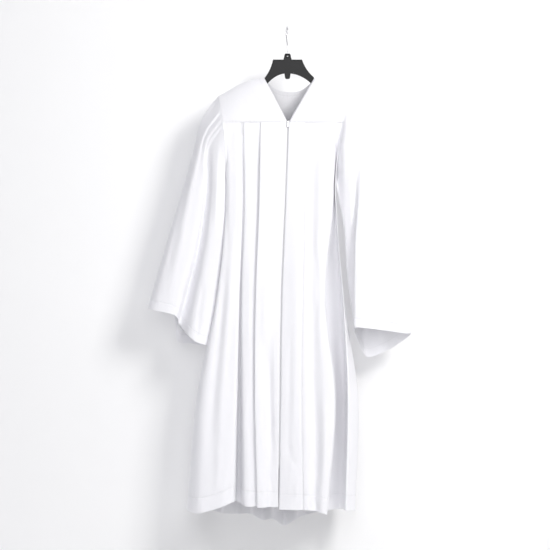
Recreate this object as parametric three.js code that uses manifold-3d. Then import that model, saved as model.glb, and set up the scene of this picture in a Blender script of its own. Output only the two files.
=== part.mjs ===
// A zip-fronted, V-necked robe with a pleated front and wide bell sleeves, hanging on a dress hanger.
// Millimetres, +Z up, the front faces -Y. The origin is the point of the hook that rests on a rail.
// Left and right are as seen from the front. Every cloth piece is a wall laid through fold lines.

import * as THREE from "three";
import Module from "manifold-3d";
import { mergeVertices } from "three/addons/utils/BufferGeometryUtils.js";

// How thick the cloth and the zip's tape are, and the gap left at every seam
const CLOTH = 1.6;
const TAPE = 1.0;
const SEAM = 0.3;

// The slit between the two fronts, and how wide each tape is behind its front
const ZIP_SLIT = 3.0;
const TAPE_WIDTH = 12;

// The yokes' lower seams, how far the cloth stands out there, and how far the front does so beside the
// neck and beside the sleeve. fullness is how bluntly yokes and armholes round off, from 0 for square.
const FRONT_SEAM_Z = -288;
const BACK_SEAM_Z = -330;
const SEAM_DEPTH = 48;
const YOKE = { neckOut: 3, sleeveOut: -1, backOut: 2, fullness: 0.6, frontEdge: 6, backEdge: 12 };

// The neck: its two points on the shoulders, the foot of the V and the lowest point of the back neckline
const NECK = { leftX: -68, leftZ: -154, rightX: 82, rightZ: -153, vX: 3 };
const BACK_NECK = { lowX: 10, lowZ: -193, roundness: 2.6 };

// The wire hook: the crook's inner radius, how it is turned, and the ends of the shaft and of the crook
const HOOK = {
  wire: 3.2, crook: 17, turnDegrees: 7, footZ: -93, shaftTopZ: -50, bend: 6,
  startDegrees: -48, openDegrees: 20, bends: 15, steps: 46,
};

// The hanger: its arms under the shoulder line, the crown between them and the nub that takes the hook
const HANGER = {
  thick: 8, bevel: 1.6, under: 2.9, armDeep: 19, endDeep: 12, leftEnd: -196, rightEnd: 182, inNeck: 4,
};
const CROWN = {
  leftX: -42, rightX: 45, z: -98, archZ: -139.5, tabHalf: 9, tabZ: -156, tabCorner: 3,
  slopeShare: 0.5, slopeRise: 15, archShare: 0.4, archDrop: 4, archFoot: 2,
};
const NUB = {
  topZ: -80, baseZ: -98, topHalf: 8, baseHalf: 12.6, windowZ: -88, windowR: 2.4, boreR: 2.1, boreDeep: 16,
};

// The zip's slider, the arch on it that carries the tab, and the tab
const SLIDER = {
  wide: 8, tall: 11, thick: 1.6, topZ: -284, corner: 2, taper: 1.5, bevel: 0.3, stand: 1.4,
  neckWide: 2.2, neckTall: 5, neckDown: 0.8, neckShort: 0.35,
};
const ARCH = { wide: 2, half: 3.4, bar: 1.0, gap: 2.4, hingeZ: -288.5 };
const TAB = {
  wide: 6.4, long: 16.5, thick: 1.2, eyeWide: 3.4, eyeLong: 4.4, taper: 0.6, tipTall: 3, tipCut: 2,
};

// The shoulder line from the neck to the sleeve: where the cloth lies over the hanger's arms
const SHOULDER = {
  left: { x: [-68, -111, -132, -156, -177, -204], z: [-154, -160, -168, -180, -192, -207] },
  right: { x: [82, 102, 126, 149, 170, 189], z: [-153, -155.5, -158, -163, -173, -184] },
};

// Each armhole: its top and underarm, how far it stands open, and the seam's x going down
const ARMHOLE = {
  left: { side: -1, topZ: -207, lowZ: -490, open: 52, x: [-204, -192, -185, -183, -183] },
  right: { side: 1, topZ: -184, lowZ: -470, open: 50, x: [189, 176, 163, 152, 146] },
};

// Fold lines of the body. x is read at the BODY_X stations from the seam to the hem,
// y at the BODY_Y stations, hem is the z of the lower edge and cuts is the columns up to the next line.
const BODY_X = [0, 0.2, 0.45, 0.7, 1];
const BODY_Y = [0, 0.45, 1];

// The least room that each fold line keeps to the next one out, beside the side seam
const SIDE_ROOM = 2.2;

// How far below the underarm the side seam comes out of the armhole's line
const UNDERARM_FADE = 110;

const FRONT_LEFT = [
  { fold: "zip edge", x: [1.5, -7, -18.5, -22.5, -27], y: [-50, -60, -72], hem: -1434, cuts: 1 },
  { fold: "placket", x: [-11.5, -20, -31.5, -35.5, -40], y: [-51, -62, -70], hem: -1434, cuts: 1 },
  { fold: "strip trough", x: [-28, -36, -47, -50, -53], y: [-51, -63, -68], hem: -1433, cuts: 2 },
  { fold: "strip crest", x: [-60, -65, -75, -77, -70], y: [-52, -66, -82], hem: -1434, cuts: 1 },
  { fold: "pleat 2 edge", x: [-79.5, -83, -93.5, -96, -88.5], y: [-52, -66, -82], hem: -1434, cuts: 1 },
  { fold: "pleat 2 under", x: [-77.5, -80, -90, -91, -82], y: [-48, -60, -73], hem: -1433, cuts: 1 },
  { fold: "pleat 2 turn", x: [-67, -69, -78, -79, -70], y: [-47, -58, -70], hem: -1432, cuts: 1 },
  { fold: "pleat 2 return", x: [-69, -72, -81, -83, -74], y: [-42.5, -52, -62], hem: -1431, cuts: 1 },
  { fold: "narrow strip foot", x: [-86, -90, -101, -104, -97], y: [-42.5, -53, -64], hem: -1431, cuts: 1 },
  { fold: "narrow strip crest", x: [-110, -112, -119, -121, -110], y: [-44, -58, -74], hem: -1432, cuts: 1 },
  { fold: "valley right edge", x: [-130.5, -126, -134, -132, -126], y: [-45, -54, -70], hem: -1430, cuts: 1 },
  { fold: "right floor", x: [-129.5, -127, -137, -139, -140], y: [-34, -34, -18], hem: -1424, cuts: 1 },
  { fold: "left floor", x: [-137, -134, -144, -146, -150], y: [-34, -34, -16], hem: -1420, cuts: 1 },
  { fold: "valley left edge", x: [-136.5, -133, -142, -150, -160], y: [-46, -56, -72], hem: -1418, cuts: 1 },
  { fold: "side panel crest", x: [-150, -149, -163, -176, -188], y: [-48, -60, -82], hem: -1430, cuts: 2 },
  { fold: "side panel trough", x: [-165, -160, -184, -212, -226], y: [-47, -55, -72], hem: -1443, cuts: 2 },
  { fold: "side fold edge", x: [-177, -168, -200, -250, -264], y: [-46, -46, -66], hem: -1452, cuts: 1 },
  { fold: "side fold", x: [-181, -172, -204, -262, -290], y: [-46, -24, -30], hem: -1450, cuts: 1 },
];

const FRONT_RIGHT = [
  { fold: "zip edge", x: [4.5, -4, -15.5, -19.5, -24], y: [-50, -60, -72], hem: -1441, cuts: 1 },
  { fold: "placket", x: [17.5, 9, -2.5, -6.5, -11], y: [-51, -63, -76], hem: -1441, cuts: 1 },
  { fold: "strip crest", x: [32, 28, 19, 16, 16], y: [-52, -66, -83], hem: -1441, cuts: 1 },
  { fold: "pleat 3 edge", x: [51, 51, 46, 43, 48], y: [-52, -66, -82], hem: -1441, cuts: 1 },
  { fold: "pleat 3 under", x: [49, 48, 42.5, 38, 42], y: [-48, -60, -73], hem: -1441, cuts: 1 },
  { fold: "pleat 3 turn", x: [38.5, 37, 31, 26, 30], y: [-47, -58, -70], hem: -1441, cuts: 1 },
  { fold: "pleat 3 return", x: [40.5, 40, 34, 30, 34], y: [-42.5, -52, -62], hem: -1442, cuts: 1 },
  { fold: "outer strip crest", x: [60, 60, 56, 55, 62], y: [-43, -56, -72], hem: -1443, cuts: 2 },
  { fold: "outer strip trough", x: [78, 76, 74, 80, 84], y: [-44, -53, -66], hem: -1446, cuts: 2 },
  { fold: "side panel crest", x: [110, 104, 93, 112, 102], y: [-47, -60, -82], hem: -1450, cuts: 2 },
  { fold: "front fold edge", x: [146, 136, 112, 141, 116], y: [-46, -54, -78], hem: -1455, cuts: 1 },
  { fold: "left floor", x: [153, 141, 126, 148, 134], y: [-42, -12, 14], hem: -1452, cuts: 1 },
  { fold: "right floor", x: [158, 144.5, 154, 170, 162], y: [-42, -8, 22], hem: -1447, cuts: 1 },
  { fold: "side fold edge", x: [163, 147, 167, 183, 176], y: [-45, -42, -34], hem: -1446, cuts: 1 },
];

// The side seams, from the front's seam to the hem; above the underarm the armhole takes their place
const SIDE = {
  left: { x: [-190, -175, -206, -270, -301], hem: -1449 },
  right: { x: [166, 150, 170, 212, 204], hem: -1451 },
};

// Flutes of the back: place across at the seam and at the hem, as shares of the width from left to right,
// how far the fold stands out from the back's own depth at the seam and at the hem, and its lower edge
const BACK_DEPTH = { y: [50, 72, 88], onset: 0.8 };
const BACK_FOLDS = [
  { seam: 0.07, hem: 0.06, out: [-4, -14], edge: -1452 },
  { seam: 0.15, hem: 0.13, out: [0, 22], edge: -1458 },
  { seam: 0.22, hem: 0.21, out: [-3, -10], edge: -1466 },
  { seam: 0.3, hem: 0.3, out: [3, 26], edge: -1472 },
  { seam: 0.37, hem: 0.38, out: [-3, -16], edge: -1468 },
  { seam: 0.44, hem: 0.45, out: [3, 18], edge: -1490 },
  { seam: 0.5, hem: 0.51, out: [-3, -20], edge: -1482 },
  { seam: 0.56, hem: 0.58, out: [4, 28], edge: -1507 },
  { seam: 0.63, hem: 0.65, out: [-3, -14], edge: -1484 },
  { seam: 0.7, hem: 0.71, out: [3, 20], edge: -1474 },
  { seam: 0.78, hem: 0.79, out: [-3, -12], edge: -1462 },
  { seam: 0.85, hem: 0.87, out: [1, 24], edge: -1458 },
  { seam: 0.93, hem: 0.94, out: [-4, -8], edge: -1454 },
];

// Fold lines of the sleeves, round each one from its outer fold by the front to its inner fold.
// at is the share of the armhole's height where the line starts, x and y are read at the
// SLEEVE stations, which start at the seam, and hem is the z of the lower edge.
const SLEEVE = [0, 0.1, 0.3, 0.6, 1];

const SLEEVE_LEFT = {
  front: [
    { fold: "outer fold", at: 0, x: [-250, -287, -344, -418], y: [0, 2, 4, 4], hem: -843, cuts: 4 },
    { fold: "outer crest", at: 0.14, x: [-240, -264, -312, -384], y: [-24, -26, -30, -34], hem: -852, cuts: 4 },
    { fold: "outer edge", at: 0.26, x: [-236, -247, -272, -333], y: [-34, -34, -36, -40], hem: -866, cuts: 2 },
    { fold: "valley floor", at: 0.34, x: [-227, -238, -258, -312], y: [-36, -22, -12, 2], hem: -898, cuts: 2 },
    { fold: "valley edge", at: 0.44, x: [-216, -225, -246, -293], y: [-44, -38, -38, -44], hem: -926, cuts: 3 },
    { fold: "inner crest", at: 0.66, x: [-200, -207, -226, -270], y: [-44, -42, -42, -50], hem: -944, cuts: 3 },
    { fold: "inner edge", at: 0.87, x: [-189, -195, -214, -252], y: [-27, -24, -26, -34], hem: -953, cuts: 2 },
    { fold: "inner fold", at: 1, x: [-187.5, -195, -214, -248], y: [0, 0, 2, 0], hem: -949, cuts: 1 },
  ],
  back: [
    { fold: "inner edge", at: 0.86, x: [-192, -204, -224, -258], y: [26, 26, 28, 34], hem: -955, cuts: 3 },
    { fold: "inner crest", at: 0.6, x: [-208, -226, -256, -292], y: [42, 42, 46, 52], hem: -950, cuts: 3 },
    { fold: "trough", at: 0.38, x: [-224, -250, -288, -328], y: [42, 34, 30, 28], hem: -944, cuts: 3 },
    { fold: "flap", at: 0.3, x: [-229, -257, -300, -342], y: [37, 32, 32, 34], hem: -864, cuts: 2 },
    { fold: "outer crest", at: 0.17, x: [-238, -270, -322, -386], y: [28, 28, 34, 38], hem: -850, cuts: 3 },
  ],
};

const SLEEVE_RIGHT = {
  front: [
    { fold: "outer fold", at: 0, x: [232, 264, 310, 372], y: [0, 2, 4, 4], hem: -921, cuts: 4 },
    { fold: "outer crest", at: 0.14, x: [229, 248, 282, 330], y: [-24, -27, -34, -38], hem: -915, cuts: 4 },
    { fold: "panel trough", at: 0.24, x: [224, 236, 256, 286], y: [-32, -30, -32, -34], hem: -909, cuts: 2 },
    { fold: "panel crest", at: 0.32, x: [220, 224, 228, 240], y: [-38, -38, -42, -50], hem: -903, cuts: 2 },
    { fold: "fold edge", at: 0.4, x: [212, 214, 203, 200], y: [-42, -36, -42, -50], hem: -899, cuts: 2 },
    { fold: "fold under", at: 0.5, x: [200, 206, 206, 214], y: [-43, -26, -22, -22], hem: -900, cuts: 3 },
    { fold: "panel edge", at: 0.76, x: [172, 182, 196, 210], y: [-36, -28, -20, -14], hem: -902, cuts: 3 },
    { fold: "inner fold", at: 1, x: [156, 171, 180, 202], y: [0, 0, 2, 2], hem: -908, cuts: 1 },
  ],
  back: [
    { fold: "inner edge", at: 0.86, x: [166, 184, 200, 220], y: [24, 24, 26, 30], hem: -952, cuts: 3 },
    { fold: "inner crest", at: 0.6, x: [188, 206, 224, 242], y: [40, 40, 44, 50], hem: -991, cuts: 3 },
    { fold: "trough", at: 0.38, x: [206, 226, 256, 294], y: [40, 34, 34, 32], hem: -975, cuts: 3 },
    { fold: "outer crest", at: 0.17, x: [222, 248, 288, 338], y: [27, 28, 34, 36], hem: -950, cuts: 3 },
  ],
};

// Small tucks that gather each sleeve into the armhole: how many round, how proud, where they start and fade
const GATHERS = { waves: 14, proud: 3.2, onset: 0.04, fade: 0.16, roundness: 0.5 };

// A sleeve's head stands this far off the armhole's edge, and beside the body's wall at the underarm,
// between two shares of the armhole's height. Its rim turns from facing the body's between two others.
const HEAD = { clear: 2.6 * SEAM, beside: CLOTH + 0.2, from: 0.55, to: 0.88, squareFrom: 0.6, squareTo: 0.9 };

const COLOURS = {
  cloth: { color: 0xf4f6fa, roughness: 0.72, metalness: 0 },
  tape: { color: 0xeef0f4, roughness: 0.8, metalness: 0 },
  plastic: { color: 0x262626, roughness: 0.45, metalness: 0 },
  metal: { color: 0xc8cacd, roughness: 0.2, metalness: 1 },
};

// Curves and grids

// The value at u of a smooth curve through the values given at the stations.
function through(stations, values, u) {
  const last = stations.length - 1;
  let k = 0;
  while (k < last - 1 && u > stations[k + 1]) k += 1;
  const slope = (i) => (values[i + 1] - values[i]) / (stations[i + 1] - stations[i]);
  const tangent = (i) => {
    if (i === 0) return slope(0);
    if (i === last) return slope(last - 1);
    return (slope(i - 1) + slope(i)) / 2;
  };
  const span = stations[k + 1] - stations[k];
  const t = THREE.MathUtils.clamp((u - stations[k]) / span, 0, 1);
  const a = values[k];
  const b = values[k + 1];
  const p = tangent(k) * span;
  const q = tangent(k + 1) * span;
  const t2 = t * t;
  const t3 = t2 * t;
  return a * (2 * t3 - 3 * t2 + 1) + p * (t3 - 2 * t2 + t) + b * (3 * t2 - 2 * t3) + q * (t3 - t2);
}

// The value at x of straight lines between the points of a table that runs either way.
function between(xs, values, x) {
  const up = xs[xs.length - 1] > xs[0];
  let k = 0;
  while (k < xs.length - 2 && (up ? x > xs[k + 1] : x < xs[k + 1])) k += 1;
  return THREE.MathUtils.mapLinear(x, xs[k], xs[k + 1], values[k], values[k + 1]);
}

const evenly = (count) => Array.from({ length: count }, (_, i) => i / (count - 1));

// One row of the cloth: a smooth line across the fold points, with each fold's own number of columns.
function acrossFolds(points, cuts) {
  const curve = new THREE.CatmullRomCurve3(points, false, "centripetal");
  const row = [];
  points.slice(0, -1).forEach((_, k) => {
    for (let c = 0; c < cuts[k]; c += 1) row.push(curve.getPoint((k + c / cuts[k]) / (points.length - 1)));
  });
  row.push(points[points.length - 1].clone());
  return row;
}

// No corner of a wall is mitred to more than its thickness over this
const LEAST_MITRE = 0.66;

// The normal at each point of a grid, and how far a mitre stretches the wall there.
function gridNormals(grid) {
  const rows = grid.length;
  const columns = grid[0].length;
  const sums = grid.map((row) => row.map(() => []));
  for (let i = 0; i < rows - 1; i += 1) {
    for (let j = 0; j < columns - 1; j += 1) {
      const across = grid[i][j + 1].clone().sub(grid[i][j]).add(grid[i + 1][j + 1]).sub(grid[i + 1][j]);
      const down = grid[i + 1][j].clone().sub(grid[i][j]).add(grid[i + 1][j + 1]).sub(grid[i][j + 1]);
      const normal = across.cross(down).normalize();
      [[i, j], [i, j + 1], [i + 1, j], [i + 1, j + 1]].forEach(([a, b]) => sums[a][b].push(normal));
    }
  }
  return sums.map((row) => row.map((faces) => {
    const mean = faces.reduce((sum, face) => sum.add(face), new THREE.Vector3()).normalize();
    const least = Math.min(...faces.map((face) => face.dot(mean)));
    return { mean, stretch: 1 / Math.max(least, LEAST_MITRE) };
  }));
}

// A closed cloth wall on a grid of points, half its thickness to each side.
function wall(grid, normals, thick) {
  const rows = grid.length;
  const columns = grid[0].length;
  const side = (sign) => grid.map((row, i) => row.map((point, j) => {
    const { mean, stretch } = normals[i][j];
    return point.clone().addScaledVector(mean, (sign * stretch * thick) / 2);
  }));
  const outer = side(1);
  const inner = side(-1);
  const corners = [];
  const quad = (a, b, c, d) => corners.push(a, b, c, a, c, d);
  for (let i = 0; i < rows - 1; i += 1) {
    for (let j = 0; j < columns - 1; j += 1) {
      quad(outer[i][j], outer[i][j + 1], outer[i + 1][j + 1], outer[i + 1][j]);
      quad(inner[i][j], inner[i + 1][j], inner[i + 1][j + 1], inner[i][j + 1]);
    }
  }
  for (let i = 0; i < rows - 1; i += 1) {
    const end = columns - 1;
    quad(outer[i][0], outer[i + 1][0], inner[i + 1][0], inner[i][0]);
    quad(outer[i][end], inner[i][end], inner[i + 1][end], outer[i + 1][end]);
  }
  for (let j = 0; j < columns - 1; j += 1) {
    const end = rows - 1;
    quad(outer[0][j], inner[0][j], inner[0][j + 1], outer[0][j + 1]);
    quad(outer[end][j], outer[end][j + 1], inner[end][j + 1], inner[end][j]);
  }
  return facingOut(new THREE.BufferGeometry().setFromPoints(corners));
}

// A long wall as an upper and a lower one, a seam gap apart at one of its rows.
function partedWall(grid, normals, at) {
  const eased = (next) => grid[at].map((point, j) => {
    const along = grid[next][j].clone().sub(point).normalize();
    return point.clone().addScaledVector(along, SEAM / 2);
  });
  return {
    upper: wall([...grid.slice(0, at), eased(at - 1)], normals.slice(0, at + 1), CLOTH),
    lower: wall([eased(at + 1), ...grid.slice(at + 1)], normals.slice(at), CLOTH),
  };
}

// Turns a closed geometry whose faces point inwards the right way round.
function facingOut(geometry) {
  const at = geometry.getAttribute("position");
  const [a, b, c] = [new THREE.Vector3(), new THREE.Vector3(), new THREE.Vector3()];
  let volume = 0;
  for (let i = 0; i < at.count; i += 3) {
    a.fromBufferAttribute(at, i);
    b.fromBufferAttribute(at, i + 1);
    c.fromBufferAttribute(at, i + 2);
    volume += a.dot(b.cross(c));
  }
  if (volume > 0) return geometry;
  const turned = [];
  for (let i = 0; i < at.count; i += 3) {
    [i, i + 2, i + 1].forEach((k) => turned.push(new THREE.Vector3().fromBufferAttribute(at, k)));
  }
  return new THREE.BufferGeometry().setFromPoints(turned);
}

// Shoulders, armholes and yokes

const shoulderZ = (side, x) => between(SHOULDER[side].x, SHOULDER[side].z, x);

// The armhole seam at height z: its x and how far it stands out to the front and the back.
function armhole(side, z) {
  const hole = ARMHOLE[side];
  const share = THREE.MathUtils.clamp((hole.topZ - z) / (hole.topZ - hole.lowZ), 0, 1);
  const x = through(evenly(hole.x.length), hole.x, share);
  return { x, out: hole.open * Math.sin(Math.PI * share) ** YOKE.fullness };
}

// How far the yoke stands out at a depth below the shoulder line, as a share of the yoke's height.
const yokeOut = (share) => SEAM_DEPTH * Math.sin((Math.PI / 2) * Math.min(share, 1)) ** YOKE.fullness;

const YOKE_ROWS = [0, 0.022, 0.08, 0.2, 0.4, 0.68, 1];

// The points of a shoulder's table and those half way between them, from the neck to the sleeve.
function shoulderXs(side) {
  return SHOULDER[side].x.flatMap((x, i, xs) => (i ? [(x + xs[i - 1]) / 2, x] : [x]));
}

// Turns the wall at an armhole so that its rim faces straight sideways.
function squareToArmhole(normals, column) {
  normals.forEach((row) => row[column].mean.setX(0).normalize());
}

// One side of the front yoke, from the V-neck to the armhole and from the shoulder to the seam.
function frontYoke(side) {
  const sign = ARMHOLE[side].side;
  const neckX = NECK[`${side}X`];
  const neckZ = NECK[`${side}Z`];
  const centreX = NECK.vX + (sign * ZIP_SLIT) / 2;
  const columns = shoulderXs(side);
  const grid = YOKE_ROWS.map((share) => columns.map((ridgeX) => {
    const across = (ridgeX - neckX) / (ARMHOLE[side].x[0] - neckX);
    const ridgeZ = shoulderZ(side, ridgeX);
    const z = THREE.MathUtils.lerp(ridgeZ, FRONT_SEAM_Z, share);
    const edgeZ = THREE.MathUtils.lerp(neckZ, FRONT_SEAM_Z, share);
    const edgeX = THREE.MathUtils.mapLinear(edgeZ, neckZ, FRONT_SEAM_Z, neckX, centreX);
    const sleeve = armhole(side, THREE.MathUtils.lerp(ARMHOLE[side].topZ, FRONT_SEAM_Z, share));
    const x = THREE.MathUtils.lerp(edgeX, sleeve.x, across);
    const atSeam = THREE.MathUtils.lerp(SEAM_DEPTH + YOKE.neckOut, SEAM_DEPTH + YOKE.sleeveOut, across);
    const body = (yokeOut(share) * atSeam) / SEAM_DEPTH;
    const out = THREE.MathUtils.lerp(body, sleeve.out, across ** YOKE.frontEdge);
    return new THREE.Vector3(x, -Math.max(out, SEAM / 2), z);
  }));
  const normals = gridNormals(grid);
  // Columns run outwards, so the computed normals face out on the left and in on the right.
  normals[0] = normals[0].map(() => ({ mean: new THREE.Vector3(0, 0, -sign), stretch: 1 }));
  squareToArmhole(normals, columns.length - 1);
  return wall(grid, normals, CLOTH);
}

// The back yoke, from armhole to armhole, with the round back neckline cut into its upper edge.
function backYoke() {
  const [leftX, rightX] = [ARMHOLE.left.x[0], ARMHOLE.right.x[0]];
  const round = (t) => (1 - Math.cos(Math.PI * t)) / 2;
  const columns = [
    ...shoulderXs("left").reverse(),
    ...evenly(12).slice(1, -1).map((t) => THREE.MathUtils.lerp(NECK.leftX, NECK.rightX, round(t))),
    ...shoulderXs("right"),
  ];
  const isShoulder = (x) => x <= NECK.leftX || x >= NECK.rightX;
  const grid = YOKE_ROWS.map((share) => columns.map((topX) => {
    const side = topX < BACK_NECK.lowX ? "left" : "right";
    const neckSide = topX < BACK_NECK.lowX ? NECK.leftX : NECK.rightX;
    const ridgeZ = isShoulder(topX) ? shoulderZ(side, topX) : NECK.rightZ;
    const reach = Math.abs((topX - BACK_NECK.lowX) / (neckSide - BACK_NECK.lowX));
    const scoop = (NECK.rightZ - BACK_NECK.lowZ) * (1 - reach ** BACK_NECK.roundness);
    const topZ = isShoulder(topX) ? ridgeZ : ridgeZ - scoop;
    const z = THREE.MathUtils.lerp(topZ, BACK_SEAM_Z, share);
    const across = (topX - leftX) / (rightX - leftX);
    const height = (hole) => THREE.MathUtils.lerp(hole.topZ, BACK_SEAM_Z, share);
    const left = armhole("left", height(ARMHOLE.left));
    const right = armhole("right", height(ARMHOLE.right));
    const pull = THREE.MathUtils.lerp(left.x - leftX, right.x - rightX, across);
    const edge = Math.abs(2 * across - 1) ** YOKE.backEdge;
    const body = yokeOut((ridgeZ - z) / (ridgeZ - BACK_SEAM_Z)) + YOKE.backOut * share;
    const out = THREE.MathUtils.lerp(body, across < 0.5 ? left.out : right.out, edge);
    return new THREE.Vector3(topX + pull, Math.max(out, SEAM / 2), z);
  }));
  const normals = gridNormals(grid);
  columns.forEach((topX, j) => {
    if (isShoulder(topX)) normals[0][j] = { mean: new THREE.Vector3(0, 0, 1), stretch: 1 };
  });
  squareToArmhole(normals, 0);
  squareToArmhole(normals, columns.length - 1);
  return wall(grid, normals, CLOTH);
}

// Fronts and back below the yokes

const sideX = (side, z) => {
  const share = (FRONT_SEAM_Z - z) / (FRONT_SEAM_Z - SIDE[side].hem);
  return through(BODY_X, SIDE[side].x, share);
};

// The side of a body piece at height z: on the armhole seam, or below it on the side seam.
function sidePoint(side, z, facing) {
  const hole = armhole(side, z);
  const open = z > ARMHOLE[side].lowZ;
  const x = open ? hole.x : sideX(side, z) + (hole.x - sideX(side, ARMHOLE[side].lowZ)) * fadeBelow(side, z);
  return new THREE.Vector3(x, facing * Math.max(open ? hole.out : 0, SEAM / 2), z);
}

// 1 at the underarm, fading to 0 a hand's width below it.
function fadeBelow(side, z) {
  return 1 - THREE.MathUtils.smoothstep(ARMHOLE[side].lowZ - z, 0, UNDERARM_FADE);
}

// Rows down a body piece, as shares of its length, and the one where its wall is parted
const BODY_ROWS = [0, 0.04, 0.085, 0.13, 0.245, 0.32, 0.41, 0.5, 0.6, 0.7, 0.8, 0.9, 1];
const BODY_PART = 0.5;

// The rows of a body piece, with one more exactly at the underarm.
function rowsWith(side, seamZ) {
  const underarm = (seamZ - ARMHOLE[side].lowZ) / (seamZ - SIDE[side].hem);
  return [...BODY_ROWS, underarm].sort((a, b) => a - b);
}

function frontGrid(side, folds) {
  const cuts = folds.map((fold) => fold.cuts);
  const seamZ = FRONT_SEAM_Z - SEAM;
  const sign = ARMHOLE[side].side;
  return rowsWith(side, seamZ).map((u) => {
    const edge = sidePoint(side, THREE.MathUtils.lerp(seamZ, SIDE[side].hem, u), -1);
    const points = folds.map((fold, k) => {
      const inside = SIDE_ROOM * (folds.length - k);
      const x = sign * Math.min(sign * through(BODY_X, fold.x, u), sign * edge.x - inside);
      return new THREE.Vector3(x, through(BODY_Y, fold.y, u), THREE.MathUtils.lerp(seamZ, fold.hem, u));
    });
    return acrossFolds([...points, edge], cuts);
  });
}

// Below the underarm the front and the back meet edge to edge, so both walls face sideways there.
function squareSides(grid, normals, end, sign, lowZ) {
  grid.forEach((row, i) => {
    const sideways = row[end].z <= lowZ + 1;
    if (sideways) normals[i][end] = { mean: new THREE.Vector3(sign, 0, 0), stretch: 1 };
    else normals[i][end].mean.setX(0).normalize();
  });
}

function front(side, folds) {
  const grid = frontGrid(side, folds);
  const normals = gridNormals(grid);
  // Columns run outwards from the zip, so the computed normals face out on the left and in on the right.
  squareSides(grid, normals, grid[0].length - 1, -1, ARMHOLE[side].lowZ);
  return partedWall(grid, normals, rowsWith(side, FRONT_SEAM_Z - SEAM).indexOf(BODY_PART));
}

function back() {
  const seamZ = BACK_SEAM_Z - SEAM;
  const underarm = (hole) => (seamZ - hole.lowZ) / (seamZ - SIDE.left.hem);
  const underarms = [underarm(ARMHOLE.right), underarm(ARMHOLE.left)];
  const rows = [...BODY_ROWS.slice(0, 3), ...underarms, ...BODY_ROWS.slice(4)];
  const cuts = Array.from({ length: BACK_FOLDS.length + 1 }, () => 2);
  const grid = rows.map((u) => {
    const end = (side) => sidePoint(side, THREE.MathUtils.lerp(seamZ, SIDE[side].hem, u), 1);
    const [left, right] = [end("left"), end("right")];
    const points = BACK_FOLDS.map((fold) => {
      const across = THREE.MathUtils.lerp(fold.seam, fold.hem, u);
      const proud = THREE.MathUtils.lerp(fold.out[0], fold.out[1], u ** BACK_DEPTH.onset);
      const z = THREE.MathUtils.lerp(seamZ, fold.edge, u);
      const x = THREE.MathUtils.lerp(left.x, right.x, across);
      return new THREE.Vector3(x, through(BODY_Y, BACK_DEPTH.y, u) + proud, z);
    });
    return acrossFolds([left, ...points, right], cuts);
  });
  const normals = gridNormals(grid);
  squareSides(grid, normals, 0, -1, ARMHOLE.left.lowZ);
  squareSides(grid, normals, grid[0].length - 1, 1, ARMHOLE.right.lowZ);
  return partedWall(grid, normals, rows.indexOf(BODY_PART));
}

// Sleeves

// Where a sleeve's fold line leaves the armhole: edge to edge with the body, and beside it at the underarm.
function sleeveStart(side, fold, facing) {
  const hole = ARMHOLE[side];
  const z = THREE.MathUtils.lerp(hole.topZ, hole.lowZ, fold.at);
  const seam = armhole(side, z);
  return new THREE.Vector3(seam.x + hole.side * headClear(fold.at), facing * seam.out, z);
}

// How far a sleeve's head stands off the armhole's edge at a share of its height.
const headClear = (share) => HEAD.clear + HEAD.beside * THREE.MathUtils.smoothstep(share, HEAD.from, HEAD.to);

// Puts a point of a sleeve's first row exactly beside the armhole's edge at its own height.
function seatOnArmhole(side, point) {
  const hole = ARMHOLE[side];
  const share = THREE.MathUtils.clamp((hole.topZ - point.z) / (hole.topZ - hole.lowZ), 0, 1);
  const seam = armhole(side, point.z);
  point.setX(seam.x + hole.side * headClear(share));
  point.setY(Math.sign(point.y) * seam.out);
}

function sleeveLine(side, fold, facing, u) {
  const start = sleeveStart(side, fold, facing);
  return new THREE.Vector3(
    through(SLEEVE, [start.x, ...fold.x], u),
    through(SLEEVE, [start.y, ...fold.y], u),
    THREE.MathUtils.lerp(start.z, fold.hem, u),
  );
}

// Rows down a sleeve, as shares of its length, and the one where its walls are parted
const SLEEVE_ROWS = [0, 0.04, 0.09, 0.15, 0.22, 0.31, 0.41, 0.52, 0.64, 0.76, 0.88, 1];
const SLEEVE_PART = 0.41;

// The front and the back half of a sleeve, as one ring of cloth parted at its outer and inner folds.
function sleeve(side, folds) {
  const ring = [
    ...folds.front.map((fold) => ({ fold, facing: -1 })),
    ...folds.back.map((fold) => ({ fold, facing: 1 })),
    { fold: folds.front[0], facing: 1 },
  ];
  const cuts = ring.map(({ fold }) => fold.cuts + (fold === folds.front[folds.front.length - 1] ? 1 : 0));
  const grid = SLEEVE_ROWS.map((u) => {
    const points = ring.map(({ fold, facing }) => sleeveLine(side, fold, facing, u));
    const count = points.length;
    const closed = [points[count - 2], ...points, points[1]];
    const curve = new THREE.CatmullRomCurve3(closed, false, "centripetal");
    const row = [];
    for (let k = 0; k < count - 1; k += 1) {
      for (let c = 0; c < cuts[k]; c += 1) row.push(curve.getPoint((k + 1 + c / cuts[k]) / (count + 1)));
    }
    row.push(points[count - 1].clone());
    return row;
  });
  grid[0].forEach((point) => seatOnArmhole(side, point));
  const parting = cuts.slice(0, folds.front.length - 1).reduce((sum, cut) => sum + cut, 0);
  const normals = ringNormals(grid);
  gather(grid, normals);
  const fine = ringNormals(grid);
  squareHead(fine[0], grid[0], ARMHOLE[side]);
  const half = (from, to) => grid.map((row) => row.slice(from, to + 1).map((point) => point.clone()));
  const part = (rows, from, to) => {
    rows.forEach((row) => {
      ease(row, 0, 1);
      ease(row, row.length - 1, row.length - 2);
    });
    return partedWall(rows, fine.map((row) => row.slice(from, to + 1)), SLEEVE_ROWS.indexOf(SLEEVE_PART));
  };
  const last = grid[0].length - 1;
  return {
    front: part(half(0, parting), 0, parting),
    back: part(half(parting, last), parting, last),
  };
}

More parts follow.
